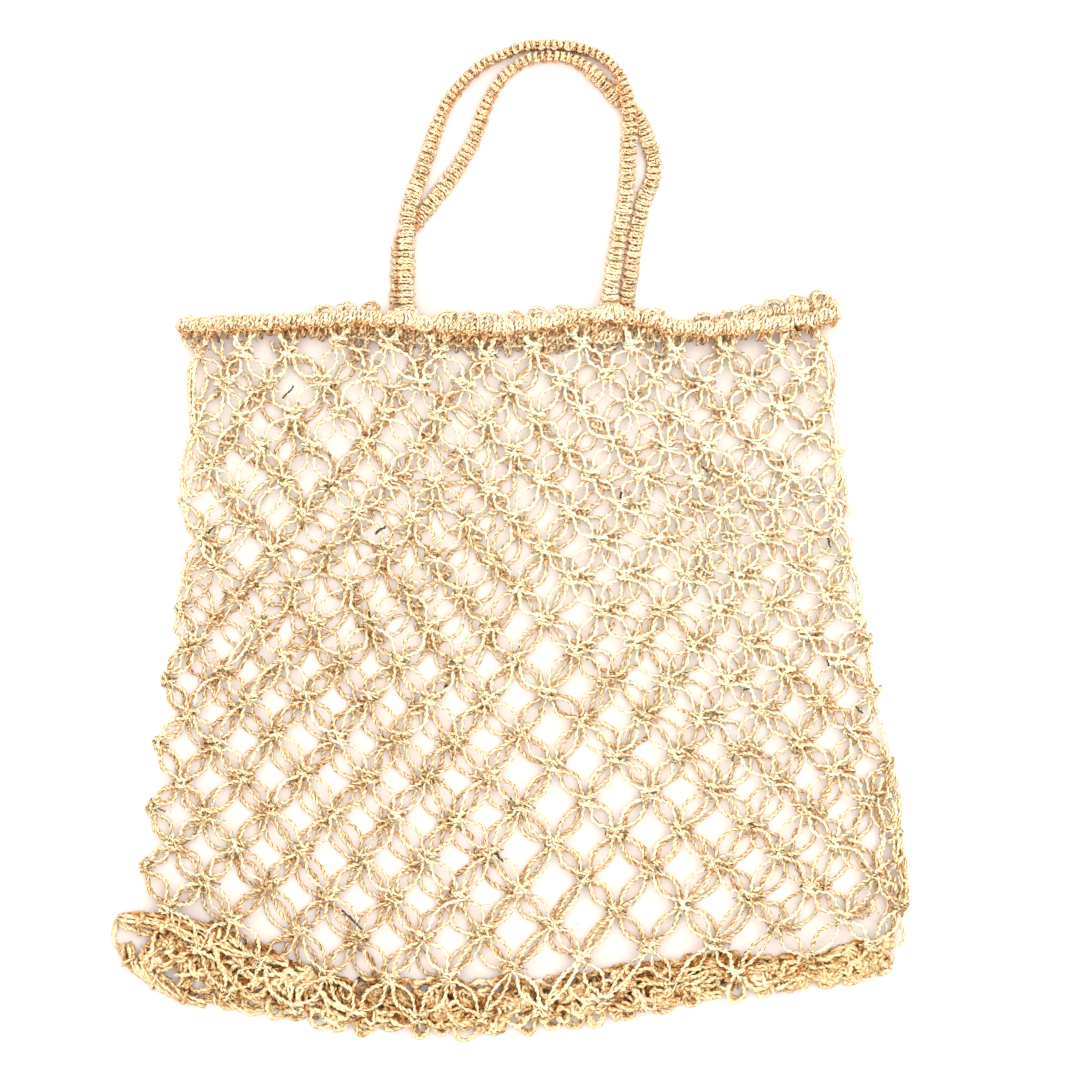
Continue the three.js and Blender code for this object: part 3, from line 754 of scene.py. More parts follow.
# Short lengths of cord that cross the front of a knot, in the knot's own directions
CROSSINGS = np.array([
    ((-4.4, 1.0, 0.6), (-1.8, 2.5, 1.9), (1.6, 1.6, 2.4), (4.4, 2.3, 0.8)),
    ((-4.3, -2.1, 0.8), (-1.5, -1.2, 2.2), (1.8, -2.4, 2.1), (4.5, -0.9, 0.6)),
    ((-2.8, 3.2, 0.9), (-0.8, 0.9, 2.6), (1.0, -0.9, 2.6), (3.0, -3.2, 0.9)),
    ((2.6, 3.4, 0.8), (1.2, 1.0, 2.3), (-0.6, -1.1, 2.4), (-2.6, -3.4, 0.8)),
])


def knot_crossings(knot, turn, narrow, rng):
    """Cords that cross the front of a knot."""
    crossings = []
    for which in rng.choice(len(CROSSINGS), 3, replace=False):
        piece = CROSSINGS[which] * rng.uniform(0.72, 1.12) + rng.normal(0, 0.35, (4, 3))
        piece[:, 0] *= narrow
        crossings.append(piece @ turned(turn).T + knot["place"])
    return crossings


def knot_stubs(knot, rng):
    """Broken fibres that fan out from a knot's middle, on the bag's folds only inwards."""
    stubs = []
    outward = math.copysign(1, knot["place"][0])
    for _ in range(6):
        angle = rng.uniform(0, 2 * math.pi)
        ray = np.array([math.cos(angle), 0.9 * math.sin(angle), 0])
        if knot["edge"]:
            ray[0] = -outward * abs(ray[0])
        reach = rng.uniform(4.5, 8.5)
        stub = ray * np.array([[0.8], [reach * 0.5], [reach]]) + rng.normal(0, 0.5, (3, 3))
        stub[:, 2] = (2.4, 2.1, rng.uniform(0.2, 1.6))
        stubs.append(stub + knot["place"])
    return stubs


def knot_specks(knot, narrow, rng):
    """Dark specks on the front of a knot."""
    specks = []
    for _ in range(3):
        angle = rng.uniform(0, 2 * math.pi)
        ray = np.array([math.cos(angle), math.sin(angle), 0]) * rng.uniform(0.6, 1.3)
        middle = knot["place"] + np.append(rng.normal(0, (2.2 * narrow, 1.6)), rng.uniform(1.9, 2.9))
        specks.append(middle + ray * np.array([[-1], [0], [1]]))
    return specks


def knot_cordage(knots, rng):
    """What makes the front's knots rough: crossing cords, broken fibres and dark specks."""
    cordage = Cordage(rng)
    crossings, stubs, specks = [], [], []
    for knot, turn in knots:
        if knot["front"] and not knot["folded"]:
            narrow = FOLDED_KNOT if knot["edge"] else 1
            crossings += knot_crossings(knot, turn, narrow, rng)
            stubs += knot_stubs(knot, rng)
            specks += knot_specks(knot, narrow, rng)
    cordage.add("knot speck", specks)
    cordage.add("knot crossing", crossings)
    cordage.add("knot stub", stubs)
    return cordage


class Bar(Cordage):
    """A bar of cord wrapped in half hitches. X runs along it and its line gives its middle's y."""

    INSET = 1.2
    HALF = BAR_HEIGHT / 2
    BEAD = np.array([
        (-2, 1.4, 2.6), (-1.3, -0.3, 3.6), (0.1, -1.1, 3.2), (1.3, -0.5, 3.7), (2.1, 1.2, 2.9),
    ])
    HITCH = np.array([
        (-0.5, -1.9, 0.8), (-0.9, 0.2, 2.2), (0.1, 1.7, 0.9), (0.8, 0.5, -1.6), (0.3, -1.8, -1.2),
    ])

    def __init__(self, line, under, picots, feet, rng):
        super().__init__(rng)
        self.line = line
        self.centre = under + self.HALF
        self.first = HEADINGS[0, 0] + self.INSET
        self.last = HEADINGS[-1, 0] - self.INSET
        self.add_wraps()
        self.add_cores()
        self.add_beads()
        self.add_ends()
        self.add_picots(picots)
        self.add_bumps()
        for x, y in feet:
            self.add_foot(x, y)

    def at(self, x, edge, above, out):
        """A place at x, from the bar's upper edge (1) or lower edge (-1) up, and out of its centre."""
        return np.array([x, self.line(x) + edge * self.HALF + above, self.centre + out])

    def marks(self, after_first, before_last, step, scatter):
        """Places along the bar, each a little off its even spacing."""
        for x in np.arange(self.first + after_first, self.last - before_last, step):
            yield x + self.rng.normal(0, scatter)

    def add_wraps(self):
        """The half hitches, each a turn of cord round the bar."""
        rng = self.rng
        pitches = np.clip(rng.normal(2.3, 0.35, 400), 1.6, 3.3)
        starts = self.first + np.concatenate([[0], np.cumsum(pitches)])
        angle = np.linspace(-0.65, 2 * math.pi - 0.25, 13) - math.pi / 2
        wraps = []
        for start, pitch in zip(starts[starts < self.last], pitches):
            swell = 1 + 0.07 * math.sin(start * 0.21) * math.sin(start * 0.083 + 1)
            reach = (self.HALF - 1.15) * swell + rng.normal(0, 0.3) + rng.normal(0, 0.16, 13)
            lean = rng.normal(0.7, 0.5) * np.cos(angle) + rng.normal(0, 0.12, 13)
            x = start + lean + np.linspace(-0.5, 0.5, 13) * pitch
            y = self.line(x) + reach * np.cos(angle)
            wraps.append(np.stack([x, y, self.centre + reach * 0.96 * np.sin(angle)], -1))
        self.add("bar wrap", wraps)

    def add_cores(self):
        """Cords inside the bar, seen between its wraps, in a darker tone that paints shade in the gaps."""
        x = np.linspace(self.first - 0.8, self.last + 0.8, 60)
        for above, out in ((-1.4, 0.6), (1.3, -0.4), (0, 1.6)):
            core = np.stack([x, self.line(x) + above, np.full(60, self.centre + out)], -1)
            self.add("bar core", core[None])

    def add_beads(self):
        """Where each hitch is drawn tight, along the lower edge, in a darker tone that paints shade there.
        """
        beads = []
        for x in self.marks(2, 1, 3.9, 0.5):
            bead = self.BEAD * self.rng.normal(1, 0.06) + self.at(x, -1, 1.1, -0.4)
            beads.append(bead + self.rng.normal(0, 0.18, bead.shape))
        self.add("bar bead", beads)

    def add_ends(self):
        """The net's cords as they leave the bar."""
        ends = []
        for x in self.marks(2, 1, 3.4, 0.9):
            fall, drift = self.rng.uniform(1.6, 5.2), self.rng.normal(0, 1.3)
            end = self.at(x, -1, 0.8, -0.6) + np.array([
                (0, 1.8, 2.2), (0.2 * drift, -0.4, 2.6), (0.6 * drift, -0.5 * fall - 0.6, 1.0),
                (drift, -fall - 0.6, -0.8),
            ])
            ends.append(end + self.rng.normal(0, 0.2, end.shape))
        self.add("bar end", ends)

    def picot_arch(self, x, second):
        """The first or second loop of a picot."""
        width = self.rng.uniform(3.4, 4.8)
        rise = self.rng.uniform(4.2, 6.0) - second * 1.2
        arch = np.array([
            (-width * 0.7, -1.4, 0), (-width * 1.05, rise * 0.45, 0.5), (-width * 0.6, rise * 0.95, 0.6),
            (width * 0.15, rise * 1.08, -0.3), (width * 0.85, rise * 0.75, 0.3), (width * 0.9, -1.2, 0),
        ])
        arch += self.at(x, 1, -1.6, (second - 0.5) * 2.2) + self.rng.normal(0, 0.3, arch.shape)
        arch[:, 0] += self.rng.normal(0, 1.0)
        return arch

    def picot_hitch(self, x, side):
        """A short hitch beside a picot's foot."""
        shift = np.array([side * 4.2 + self.rng.normal(0, 0.4), self.rng.uniform(-0.2, 1.4), 0])
        return self.HITCH * self.rng.uniform(0.8, 1.15) + self.at(x, 1, 0, 0) + shift

    def add_picots(self, places):
        for x in places:
            self.add("picot", [self.picot_arch(x, second) for second in range(2)])
            hitches = [self.picot_hitch(x, side) for side in (-1, -0.75, 0.8, 1)]
            self.add("picot hitch", hitches)

    def add_bumps(self):
        """Stray bumps of cord along the upper edge."""
        bumps = []
        for x in self.marks(3, 2, 5.2, 1.4):
            width, rise = self.rng.uniform(1.2, 2.6), self.rng.uniform(0.2, 1.5)
            bumps.append(self.at(x, 1, -1.3, -0.5) + np.array([
                (-width, -1.6, 2.4), (-width * 0.7, 0.4, 2.0), (0, 0.6 + rise * 0.6, 0.8),
                (width * 0.8, 0.2, 1.8), (width, -1.7, 2.5),
            ]))
        self.add("bar bump", bumps)

    def add_foot(self, x, y):
        """A foot of the handle, its cords fanned out over the bar."""
        fan = []
        for share in np.linspace(-1, 1, 9):
            end = share * 13.5 + self.rng.normal(0, 0.8)
            side = abs(share)
            cord = np.array([
                (share * 4.4, 3.0, -2.4), (share * 5.4, 1.4, -0.2), (share * 8.0, -0.2 - side * 0.8, 1.5),
                (end, -3.4 + side, 1.0), (end + share * 2.2, -5.4, 2.0),
            ])
            fan.append(cord + np.array([x, y, self.centre + 2.0]) + self.rng.normal(0, 0.2, cord.shape))
        self.add("foot", fan)


class Strap(Cordage):
    """A flat strap of square knots with a ridge for each half knot."""

    STEPS = 4000
    RIDGE = 3.75
    EDGE = 3.85
    FACE = 1.95
    HALF_WIDTH = 5.2
    HALF_HEIGHT = 2.8
    ROUTE_STEPS = 12
    FOOT_GAP = 0.3

    def __init__(self, rows, rng):
        super().__init__(rng)
        flat = np.concatenate([rows[:, :2], np.zeros((len(rows), 1))], 1)
        dense = splined(flat[None], self.ROUTE_STEPS)
        (self.middle,), (way,) = evenly(dense, self.STEPS)
        self.length = way[-1]
        row_places = way[:: self.ROUTE_STEPS]
        marks = np.linspace(0, self.length, self.STEPS)
        under = curve_of(row_places, rows[:, 2])(marks)
        turn = np.radians(curve_of(row_places, rows[:, 3])(marks))[:, None]
        across = np.cross(UP, unit(np.gradient(self.middle, axis=0)))
        self.wide = across * np.cos(turn) + UP * np.sin(turn)
        self.high = UP * np.cos(turn) - across * np.sin(turn)
        lean = np.abs(np.sin(turn)) * self.HALF_WIDTH * 0.92 + np.abs(np.cos(turn)) * self.HALF_HEIGHT
        self.middle[:, 2] = np.maximum(under, 0) + np.maximum(lean[:, 0], self.HALF_HEIGHT)
        self.add_wraps()
        self.add_cores()
        self.add_locks()

    def laid(self, local):
        """Points of x across the strap, y along it and z out of its face, in the plan."""
        y = local[:, 1]
        index = (np.clip(y / self.length, 0, 1) * (self.STEPS - 1)).astype(int)
        from_foot = np.minimum(y, self.length - y)
        flare = 1 + 0.22 * np.exp(-np.maximum(from_foot, 0) / 3)
        x = (local[:, 0] * flare)[:, None]
        return self.middle[index] + self.wide[index] * x + self.high[index] * local[:, 2:]

    def inside(self, local):
        """The points, kept between the strap's two ends."""
        local[:, 1] = np.clip(local[:, 1], self.FOOT_GAP, self.length - self.FOOT_GAP)
        return local

    def ridges(self):
        return range(int(self.length / self.RIDGE))

    def add_wraps(self):
        """Two turns of cord round the strap for each ridge."""
        edge, face = self.EDGE, self.FACE
        ring = np.array([
            (-edge * 0.35, 0.05, -face), (-edge * 0.85, 0.0, -face * 0.85), (-edge * 1.06, -0.1, 0.0),
            (-edge * 0.85, -0.1, face * 0.85), (-edge * 0.4, 0.2, face), (edge * 0.4, 0.25, face),
            (edge * 0.85, -0.1, face * 0.85), (edge * 1.06, -0.1, 0.0), (edge * 0.85, 0.0, -face * 0.85),
            (edge * 0.3, 0.05, -face), (-edge * 0.45, 0.1, -face * 0.8),
        ])
        rng = self.rng
        wraps = []
        for i in self.ridges():
            tilt, size = rng.normal(0, 0.05), rng.normal(1, 0.05)
            for beside in (-0.82, 0.82):
                local = ring * np.array([size, 1, rng.normal(1, 0.06)]) + rng.normal(0, 0.1, ring.shape)
                close = 1 - 0.5 * (np.abs(local[:, 0]) / edge) ** 2
                lean = beside * close + tilt * local[:, 0] + rng.normal(0, 0.08)
                local[:, 1] += self.RIDGE * (i + 0.5) + lean
                wraps.append(self.laid(self.inside(local)))
        self.add("strap wrap", wraps)

    def add_cores(self):
        """Cords inside the strap, seen between its wraps, in a darker tone that paints shade in the gaps.
        """
        y = np.linspace(0.2, self.length - 0.2, 160)
        for x in (-1.9, 0, 1.9):
            core = np.stack([np.full(160, x), y, self.rng.normal(0, 0.1, 160)], -1)
            self.add("strap core", self.laid(core)[None])

    def add_locks(self):
        """The loops that lock each knot, by turns at the strap's two edges."""
        face = self.FACE
        locks = []
        for i in self.ridges():
            side = (-1, 1)[i % 2] * self.EDGE * self.rng.uniform(0.55, 0.9)
            at = self.RIDGE * (i + 0.55) + self.rng.normal(0, 0.2)
            lock = np.array([
                (side * 0.75, at - 1.8, face * 0.9), (side, at - 0.7, face * 1.3),
                (side * 1.05, at + 0.5, face * 1.25), (side * 0.8, at + 1.6, face * 0.8),
            ])
            locks.append(self.laid(self.inside(lock)))
        self.add("strap lock", locks)


def roll_pair(rng):
    """Two cords side by side along the roll, and how far they reach."""
    start = rng.uniform(-190, 180)
    reach = rng.uniform(18, 42)
    x = np.linspace(start, min(start + reach, 206), 9)
    share = np.clip(rng.uniform(0.15, 0.85) + np.cumsum(rng.normal(0, 0.2, 9)), 0.1, 0.9)
    height = BASE_HEIGHT * np.sqrt(np.maximum(1 - (2 * share - 1) ** 2, 0.12))
    rise = np.clip(rng.uniform(0.3, 0.95) + rng.normal(0, 0.12, 9), 0.05, 1)
    y = gather_top(x) + (gather_foot(x) - gather_top(x)) * share
    route = np.stack([x, y, 1.6 + (height - 4.2) * rise], -1)
    beside = route + np.array([rng.normal(0, 1), 2.3, rng.normal(0, 1)])
    return kept_in_base(np.array([route, beside])), reach


def add_bundle(cordage, points, radius, strands, height, rng):
    """Strands that wind about one route, with bindings round them."""
    steps = 30
    flat = plan(points)
    route = splined(np.concatenate([flat, np.zeros((len(flat), 1))], 1)[None], 8)
    (spine,), (way,) = evenly(route, steps)
    forward = unit(np.gradient(spine, axis=0))
    across = np.cross(UP, forward)

    def round_spine(at, angle, reach, low_reach):
        """Points at an angle round the spine, flattened and kept off the surface."""
        ring = spine[at] + across[at] * (reach * np.cos(angle))[:, None]
        ring[:, 2] = np.maximum(height + low_reach * np.sin(angle), LOWEST_IN_BASE)
        return ring

    for strand in range(strands):
        winding = np.linspace(0, rng.uniform(0.5, 1.4), steps)
        angle = 2 * math.pi * (strand / strands + winding) + rng.uniform(0, 1)
        share = rng.uniform(0.4, 1.2)
        wave = np.sin(np.linspace(0, rng.uniform(6, 12), steps) + strand * 2)
        own = radius * share * (1 + 0.3 * wave)
        cord = round_spine(slice(None), angle, own, own * 0.85)
        cordage.add("bundle", cord[None], max(int(way[-1]), 8))
    bindings = []
    for share in np.arange(0.2, 1, 0.3 if radius > 2 else 1):
        at = int(share * (steps - 1))
        angle = np.linspace(0, 2.2 * math.pi, 9) + rng.uniform(0, 6)
        binding = round_spine(at, angle, radius + 1.2, radius + 1.0)
        binding += forward[at] * (np.linspace(-1.4, 1.4, 9) + rng.normal(0, 0.2, 9))[:, None]
        bindings.append(binding)
    cordage.add("binding", bindings)


def hanging_loop(x, width, drop, strand, rng):
    """One of the two strands of a loop on the base's lower edge."""
    z = rng.uniform(1.8, 6)
    wide = width * rng.uniform(0.8, 1.1)
    loop = np.array([
        (-wide * 0.8, 8, 3), (-wide * 1.02, 2.2, 1), (-wide * 0.45, -drop, 0),
        (wide * 0.4, -drop * 0.9, 0), (wide, 2.4, 0.8), (wide * 0.7, 9, 3),
    ])
    loop += np.array([x + strand * 1.2, gather_foot(x) + strand * 1.3, z]) + rng.normal(0, 0.5, loop.shape)
    loop[:, 2] = np.maximum(loop[:, 2], LOWEST_IN_BASE)
    return loop


def base_cordage(folded, rng):
    """The gathered base: folded net, cords along it, its corner loop and the loops that hang from it."""
    cordage = Cordage(rng)
    cordage.add("base net", folded)
    for _ in range(ROLL_PAIRS):
        pair, reach = roll_pair(rng)
        cordage.add("base pair", pair, int(reach / 1.3))
    for bundle in CORNER_BUNDLES:
        add_bundle(cordage, *bundle, rng)
    for x, width, drop in HANGING_LOOPS:
        for strand in range(2):
            cordage.add("base loop", hanging_loop(x, width, drop, strand, rng)[None])
    return cordage


class Nodes:
    """A material's node tree, with short ways to add the nodes that the straw needs."""

    def __init__(self, material):
        self.nodes, self.links = material.node_tree.nodes, material.node_tree.links

    def node(self, kind, sources=(), **values):
        """A new node. Sources are linked to its first inputs, and values are set on its named ones."""
        node = self.nodes.new("ShaderNode" + kind)
        for socket, value in values.items():
            node.inputs[socket.replace("_", " ")].default_value = value
        for socket, source in zip(node.inputs, sources):
            self.links.new(source, socket)
        return node

    def math(self, operation, first, second=None, clamp=False):
        node = self.nodes.new("ShaderNodeMath")
        node.operation = operation
        node.use_clamp = clamp
        for socket, value in zip(node.inputs, (first, second)):
            if isinstance(value, (int, float)):
                socket.default_value = value
            elif value is not None:
                self.links.new(value, socket)
        return node.outputs[0]

    def attribute(self, name):
        """The number that the mesh keeps for each point under a name."""
        node = self.nodes.new("ShaderNodeAttribute")
        node.attribute_name = name
        return node.outputs["Fac"]

    def noise(self, place, scale, detail, low, high):
        """Noise, its usual range from low to high opened out to 0 to 1."""
        node = self.node("TexNoise", [place], Scale=scale, Detail=detail, Roughness=0.62)
        return self.stretched(node.outputs["Fac"], low, high)

    def stretched(self, value, low, high):
        return self.node("MapRange", [value], From_Min=low, From_Max=high).outputs["Result"]

    def fibre_place(self, way, angle, along, radius):
        """Texture places on a long thin cord, so that noise runs along it as fibres."""
        node = self.nodes.new("ShaderNodeCombineXYZ")
        self.links.new(self.math("MULTIPLY", way, along), node.inputs[0])
        for axis, wave in ((1, "COSINE"), (2, "SINE")):
            self.links.new(self.math("MULTIPLY", self.math(wave, angle), radius), node.inputs[axis])
        return node.outputs[0]


def straw_material(name, ply_shading, colours, nook_shade_tint=(1.0, 0.54, 0.23), nook_shade_weight=-0.06):
    """Two-ply straw cord: fibres along it, painted light on the plies' crests and painted shade in the
    groove between them, blotches, pale husk and painted shade where it lies deep among cords.
    """
    material = bpy.data.materials.new(name)
    material.use_nodes = True
    tree = Nodes(material)
    links = tree.links
    tree.nodes.clear()
    output = tree.nodes.new("ShaderNodeOutputMaterial")
    shader = tree.node("BsdfPrincipled", Specular_IOR_Level=0.0)
    links.new(shader.outputs["BSDF"], output.inputs["Surface"])

    uv = tree.nodes.new("ShaderNodeUVMap")
    uv.uv_map = "cord"
    way, around = tree.node("SeparateXYZ", [uv.outputs["UV"]]).outputs[:2]
    spot = tree.node("TexCoord").outputs["Object"]
    angle = tree.math("MULTIPLY", around, 2 * math.pi)
    # Painted light and shade: the ply crests are made lighter and the grooves between them darker; the
    # crests also give the bump.
    crest = tree.stretched(tree.math("ABSOLUTE", tree.math("COSINE", angle)), 0.0, 0.5)
    fibres = tree.noise(tree.fibre_place(way, angle, 0.3, 2.4), 1.7, 5.0, 0.33, 0.67)
    flecks = tree.noise(tree.fibre_place(way, angle, 0.42, 1.5), 1.4, 2.0, 0.56, 0.68)
    patches = tree.noise(tree.node("CombineXYZ", [way]).outputs[0], 0.16, 3.0, 0.3, 0.7)
    blotches = tree.noise(spot, 42.0, 2.0, 0.35, 0.65)
    tone, nook_shade = tree.attribute("tone"), tree.attribute("nook_shade")

    # Straw value: 0.5 for a middling place, more for pale husk, less for brown. The crest term paints
    # light on the ply crests and shade in their grooves, and the last term paints shade deep among the
    # cords.
    value = 0.5
    for part, usual, weight in (
        (tone, 0.5, 0.6), (patches, 0.5, 0.3), (fibres, 0.5, 0.64), (blotches, 0.5, 0.14),
        (crest, 0.82, ply_shading), (flecks, 0.14, -0.7), (nook_shade, 0.25, nook_shade_weight),
    ):
        value = tree.math("ADD", tree.math("MULTIPLY", tree.math("SUBTRACT", part, usual), weight), value)
    ramp = tree.node("ValToRGB", [tree.math("ADD", value, 0.04, clamp=True)])
    stops = ramp.color_ramp.elements
    stops[1].position = 1.0
    for place in STRAW_STOPS[1:-1]:
        stops.new(place)
    for stop, colour in zip(stops, colours):
        stop.color = (*colour, 1)
    # Painted shade: the straw's colour is multiplied by the shade tint where it lies deep among the cords.
    nook_shade_mix = tree.nodes.new("ShaderNodeMix")
    nook_shade_mix.data_type = "RGBA"
    nook_shade_mix.blend_type = "MULTIPLY"
    share, straw, tint = (nook_shade_mix.inputs[i] for i in (0, 6, 7))
    tint.default_value = (*nook_shade_tint, 1)
    links.new(nook_shade, share)
    links.new(ramp.outputs["Color"], straw)
    links.new(nook_shade_mix.outputs[2], shader.inputs["Base Color"])

    rough = tree.node("MapRange", [fibres], To_Min=0.5, To_Max=0.8)
    links.new(rough.outputs["Result"], shader.inputs["Roughness"])
    height = tree.math("ADD", tree.math("MULTIPLY", fibres, 0.5), tree.math("MULTIPLY", crest, 0.6))
    bump = tree.node("Bump", Strength=0.85, Distance=0.0006)
    links.new(height, bump.inputs["Height"])
    links.new(bump.outputs["Normal"], shader.inputs["Normal"])
    return material


def plain_material(name, colour, roughness, grain):
    """A matt material with a faint uneven tone."""
    material = bpy.data.materials.new(name)
    material.use_nodes = True
    tree = Nodes(material)
    shader = tree.nodes["Principled BSDF"]
    shader.inputs["Roughness"].default_value = roughness
    spot = tree.node("TexCoord").outputs["Object"]
    noise = tree.node("TexNoise", [spot], Scale=grain)
    ramp = tree.node("ValToRGB", [noise.outputs["Fac"]])
    stops = ramp.color_ramp.elements
    stops[0].color = (*(0.97 * c for c in colour), 1)
    stops[1].color = (*colour, 1)
    tree.links.new(ramp.outputs["Color"], shader.inputs["Base Color"])
    return material


def painted_light_slope(points):
    """Painted light and shade across the net: paler towards its upper right, and a little browner at the
    lower left.
    """
    x, y = points[:, 0], points[:, 1]
    upper = 0.12 * smooth(-20, 70, y) + 0.26 * smooth(-50, 50, x) * smooth(-120, 0, y)
    return upper - 0.14 * smooth(-20, -110, x) * smooth(40, -60, y)


def painted_rim_shade(bar):
    """Painted shade along the lower edge of a bar of cord, which browns it."""
    return lambda points: 0.5 * smooth(-1.6, -4.0, points[:, 1] - bar(points[:, 0]))


def shaded_crowns(points):
    """Painted shade on the handles' crowns, which makes them browner than their feet."""
    return 0.12 * smooth(185, 255, points[:, 1])


# Straw, each from its dark fibres to its pale husk
front_straw = straw_material(
    "straw_front", 0.64,
    ((0.08, 0.025, 0.006), (0.62, 0.3, 0.085), (0.9, 0.69, 0.385), (0.98, 0.865, 0.59), (1.0, 0.94, 0.72)),
)
# Painted shade: the back net's straw is a slightly darker copy of the front's, for the layer that lies
# under it.
shaded_back_straw = straw_material(
    "straw_back", 0.66,
    ((0.08, 0.025, 0.006), (0.6, 0.28, 0.08), (0.88, 0.65, 0.35), (0.97, 0.82, 0.545), (1.0, 0.92, 0.685)),
)
bar_straw = straw_material(
    "straw_bar", 0.7,
    ((0.05, 0.018, 0.005), (0.54, 0.25, 0.07), (0.8, 0.59, 0.33), (0.92, 0.79, 0.54), (0.97, 0.88, 0.69)),
    nook_shade_tint=(0.96, 0.52, 0.22), nook_shade_weight=-0.2,
)
# Painted shade: the gathered base's straw is a darker, browner copy of the net's, for the dense roll.
shaded_base_straw = straw_material(
    "straw_base", 0.45,
    ((0.17, 0.06, 0.012), (0.54, 0.26, 0.08), (0.79, 0.53, 0.26), (0.91, 0.71, 0.42), (0.98, 0.85, 0.58)),
    nook_shade_tint=(0.82, 0.53, 0.28), nook_shade_weight=-0.3,
)
handle_straw = straw_material(
    "straw_handle", 0.6,
    ((0.12, 0.04, 0.01), (0.64, 0.32, 0.10), (0.88, 0.64, 0.35), (0.96, 0.8, 0.53), (1.0, 0.9, 0.66)),
    nook_shade_tint=(1.0, 0.48, 0.18), nook_shade_weight=0.02,
)
charred = plain_material("charred_fibre", (0.02, 0.012, 0.01), 0.6, 900.0)

# The net's two front sheets, its back one and the fibres on it
routes, knots = net_routes(NET_SEED)
rng = np.random.default_rng(CORD_SEED)
net_upper = Cordage(rng)
net_upper.add("net", routes["upper"])
net_upper.add("fold", fold_strands(knots, right_side, 1, 112, 5, rng))
net_upper.add("fold", fold_strands(knots, left_side, -1, 112, 5, rng))
net_lower = Cordage(rng)
net_lower.add("net", routes["lower"])
net_lower.add("fold", fold_strands(knots, right_side, 1, 16, -240, rng))
net_lower.add("stray", stray_strands(right_side, -1, -128, -228, (4.0, 8.0, 12.0, 15.0), rng))
net_behind = Cordage(rng)
net_behind.add("back net", routes["back"])
charred_cords = charred_cordage(rng)
loose = hair_cordage(np.array(routes["upper"] + routes["lower"] + routes["base"]), rng)

# Bars with the feet of the handles, handles, base and the front's knots
bar_front = Bar(front_bar, UNDER_FRONT_BAR, FRONT_PICOTS, FRONT_FEET, rng)
bar_back = Bar(back_bar, 0.0, BACK_PICOTS, BACK_FEET, rng)
strap_front = Strap(FRONT_HANDLE, rng)
strap_back = Strap(BACK_HANDLE, rng)
base_cords = base_cordage(routes["base"], rng)
for x, y in plan(FOLD_KNOTS):
    knot = dict(place=np.array([x, y, FOLD_KNOT_HEIGHT]), folded=False, front=True, edge=True)
    knots.append((knot, rng.normal(0, 0.5)))
knot_cords = knot_cordage(knots, rng)
relief = Relief([
    net_upper, net_lower, net_behind, bar_front, bar_back, strap_front, strap_back, base_cords, knot_cords,
])

# Each piece gets painted shade deep among the cords, at the given strength; the bars' lower rims and the
# handles' crowns get more, and the nets get painted light and shade across them.
front_upper = net_upper.build("front_net_upper", front_straw, relief, shade_depth=0.7, pale=painted_light_slope)
front_lower = net_lower.build("front_net_lower", front_straw, relief, shade_depth=0.7, pale=painted_light_slope)
back_net = net_behind.build("back_net", shaded_back_straw, relief, shade_depth=0.5, pale=painted_light_slope)
front_heading = bar_front.build("front_heading", bar_straw, relief, shade_depth=0.5, shade=painted_rim_shade(front_bar))
back_heading = bar_back.build("back_heading", bar_straw, relief, shade_depth=0.45)
front_strap = strap_front.build("front_strap", handle_straw, relief, shade_depth=0.75, shade=shaded_crowns)
back_strap = strap_back.build("back_strap", handle_straw, relief, shade_depth=0.75, shade=shaded_crowns)
base = base_cords.build("gathered_base", shaded_base_straw, relief)
front_knots = knot_cords.build("front_knots", front_straw, relief, shade_depth=0.7, pale=painted_light_slope)
charred_bits = charred_cords.build("charred_fibres", charred)
fibres = loose.build("loose_fibres", front_straw)

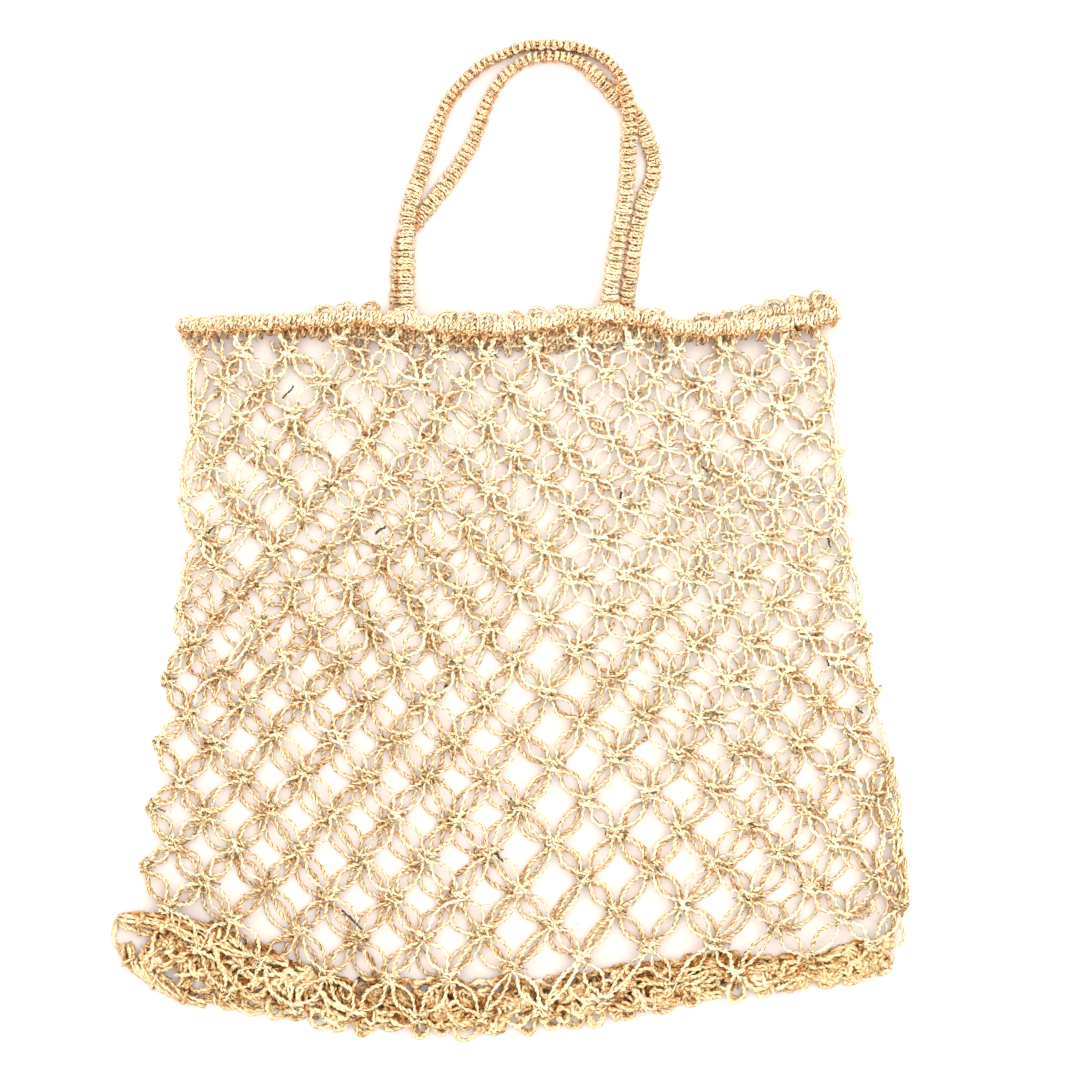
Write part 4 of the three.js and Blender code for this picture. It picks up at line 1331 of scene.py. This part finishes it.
pieces = {
    front_upper: ("net_cord", ["net_front"]),
    front_lower: ("net_cord", ["net_front"]),
    back_net: ("net_cord_shade", ["net_back"]),
    front_heading: ("bar_cord", ["header_front"]),
    back_heading: ("bar_cord", ["header_back"]),
    front_strap: ("handle_cord", ["handle_front"]),
    back_strap: ("handle_cord", ["handle_back"]),
    base: ("base_cord", ["base_gather"]),
    front_knots: ("net_cord", []),
    charred_bits: ("net_cord", []),
    fibres: ("net_cord", []),
}
for piece, (slot, nodes_replaced) in pieces.items():
    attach(piece, "root")
    if nodes_replaced:
        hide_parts(*nodes_replaced)

# Floor
bpy.ops.mesh.primitive_plane_add(size=12.0)
floor = bpy.context.object
floor.name = "floor"
floor.data.materials.append(plain_material("pale_floor", (0.69, 0.622, 0.586), 0.9, 3.0))

# Light
world = bpy.data.worlds.new("studio")
world.use_nodes = True
world.node_tree.nodes["Background"].inputs["Color"].default_value = (1.0, 0.985, 0.965, 1)
world.node_tree.nodes["Background"].inputs["Strength"].default_value = 1.7
bpy.context.scene.world = world


def softbox(name, place, target, size, power):
    """A square lamp at a place, turned to its target."""
    light = bpy.data.lights.new(name, "AREA")
    light.shape = "SQUARE"
    light.size = size
    light.energy = power
    holder = bpy.data.objects.new(name, light)
    holder.location = place
    holder.rotation_euler = (Vector(target) - Vector(place)).to_track_quat("-Z", "Y").to_euler()
    bpy.context.scene.collection.objects.link(holder)


softbox("key", (0.3, 0.5, 2.4), (0, 0, 0), 2.2, 56.0)

# Camera straight above the photograph's middle
CAMERA_HEIGHT = 1.606
SENSOR = 36.0
FRAME_WIDTH = 1080 * MM_PER_PIXEL * MM
NET_LEVEL = 0.006
camera_data = bpy.data.cameras.new("camera")
camera_data.sensor_width = SENSOR
camera_data.lens = SENSOR * (CAMERA_HEIGHT - NET_LEVEL) / FRAME_WIDTH
camera = bpy.data.objects.new("camera", camera_data)
middle_of_picture = plan((540, 540)) + CENTRING[:2]
camera.location = (middle_of_picture[0] * MM, middle_of_picture[1] * MM, CAMERA_HEIGHT)
bpy.context.scene.collection.objects.link(camera)
bpy.context.scene.camera = camera
bpy.context.scene.view_settings.view_transform = "Standard"

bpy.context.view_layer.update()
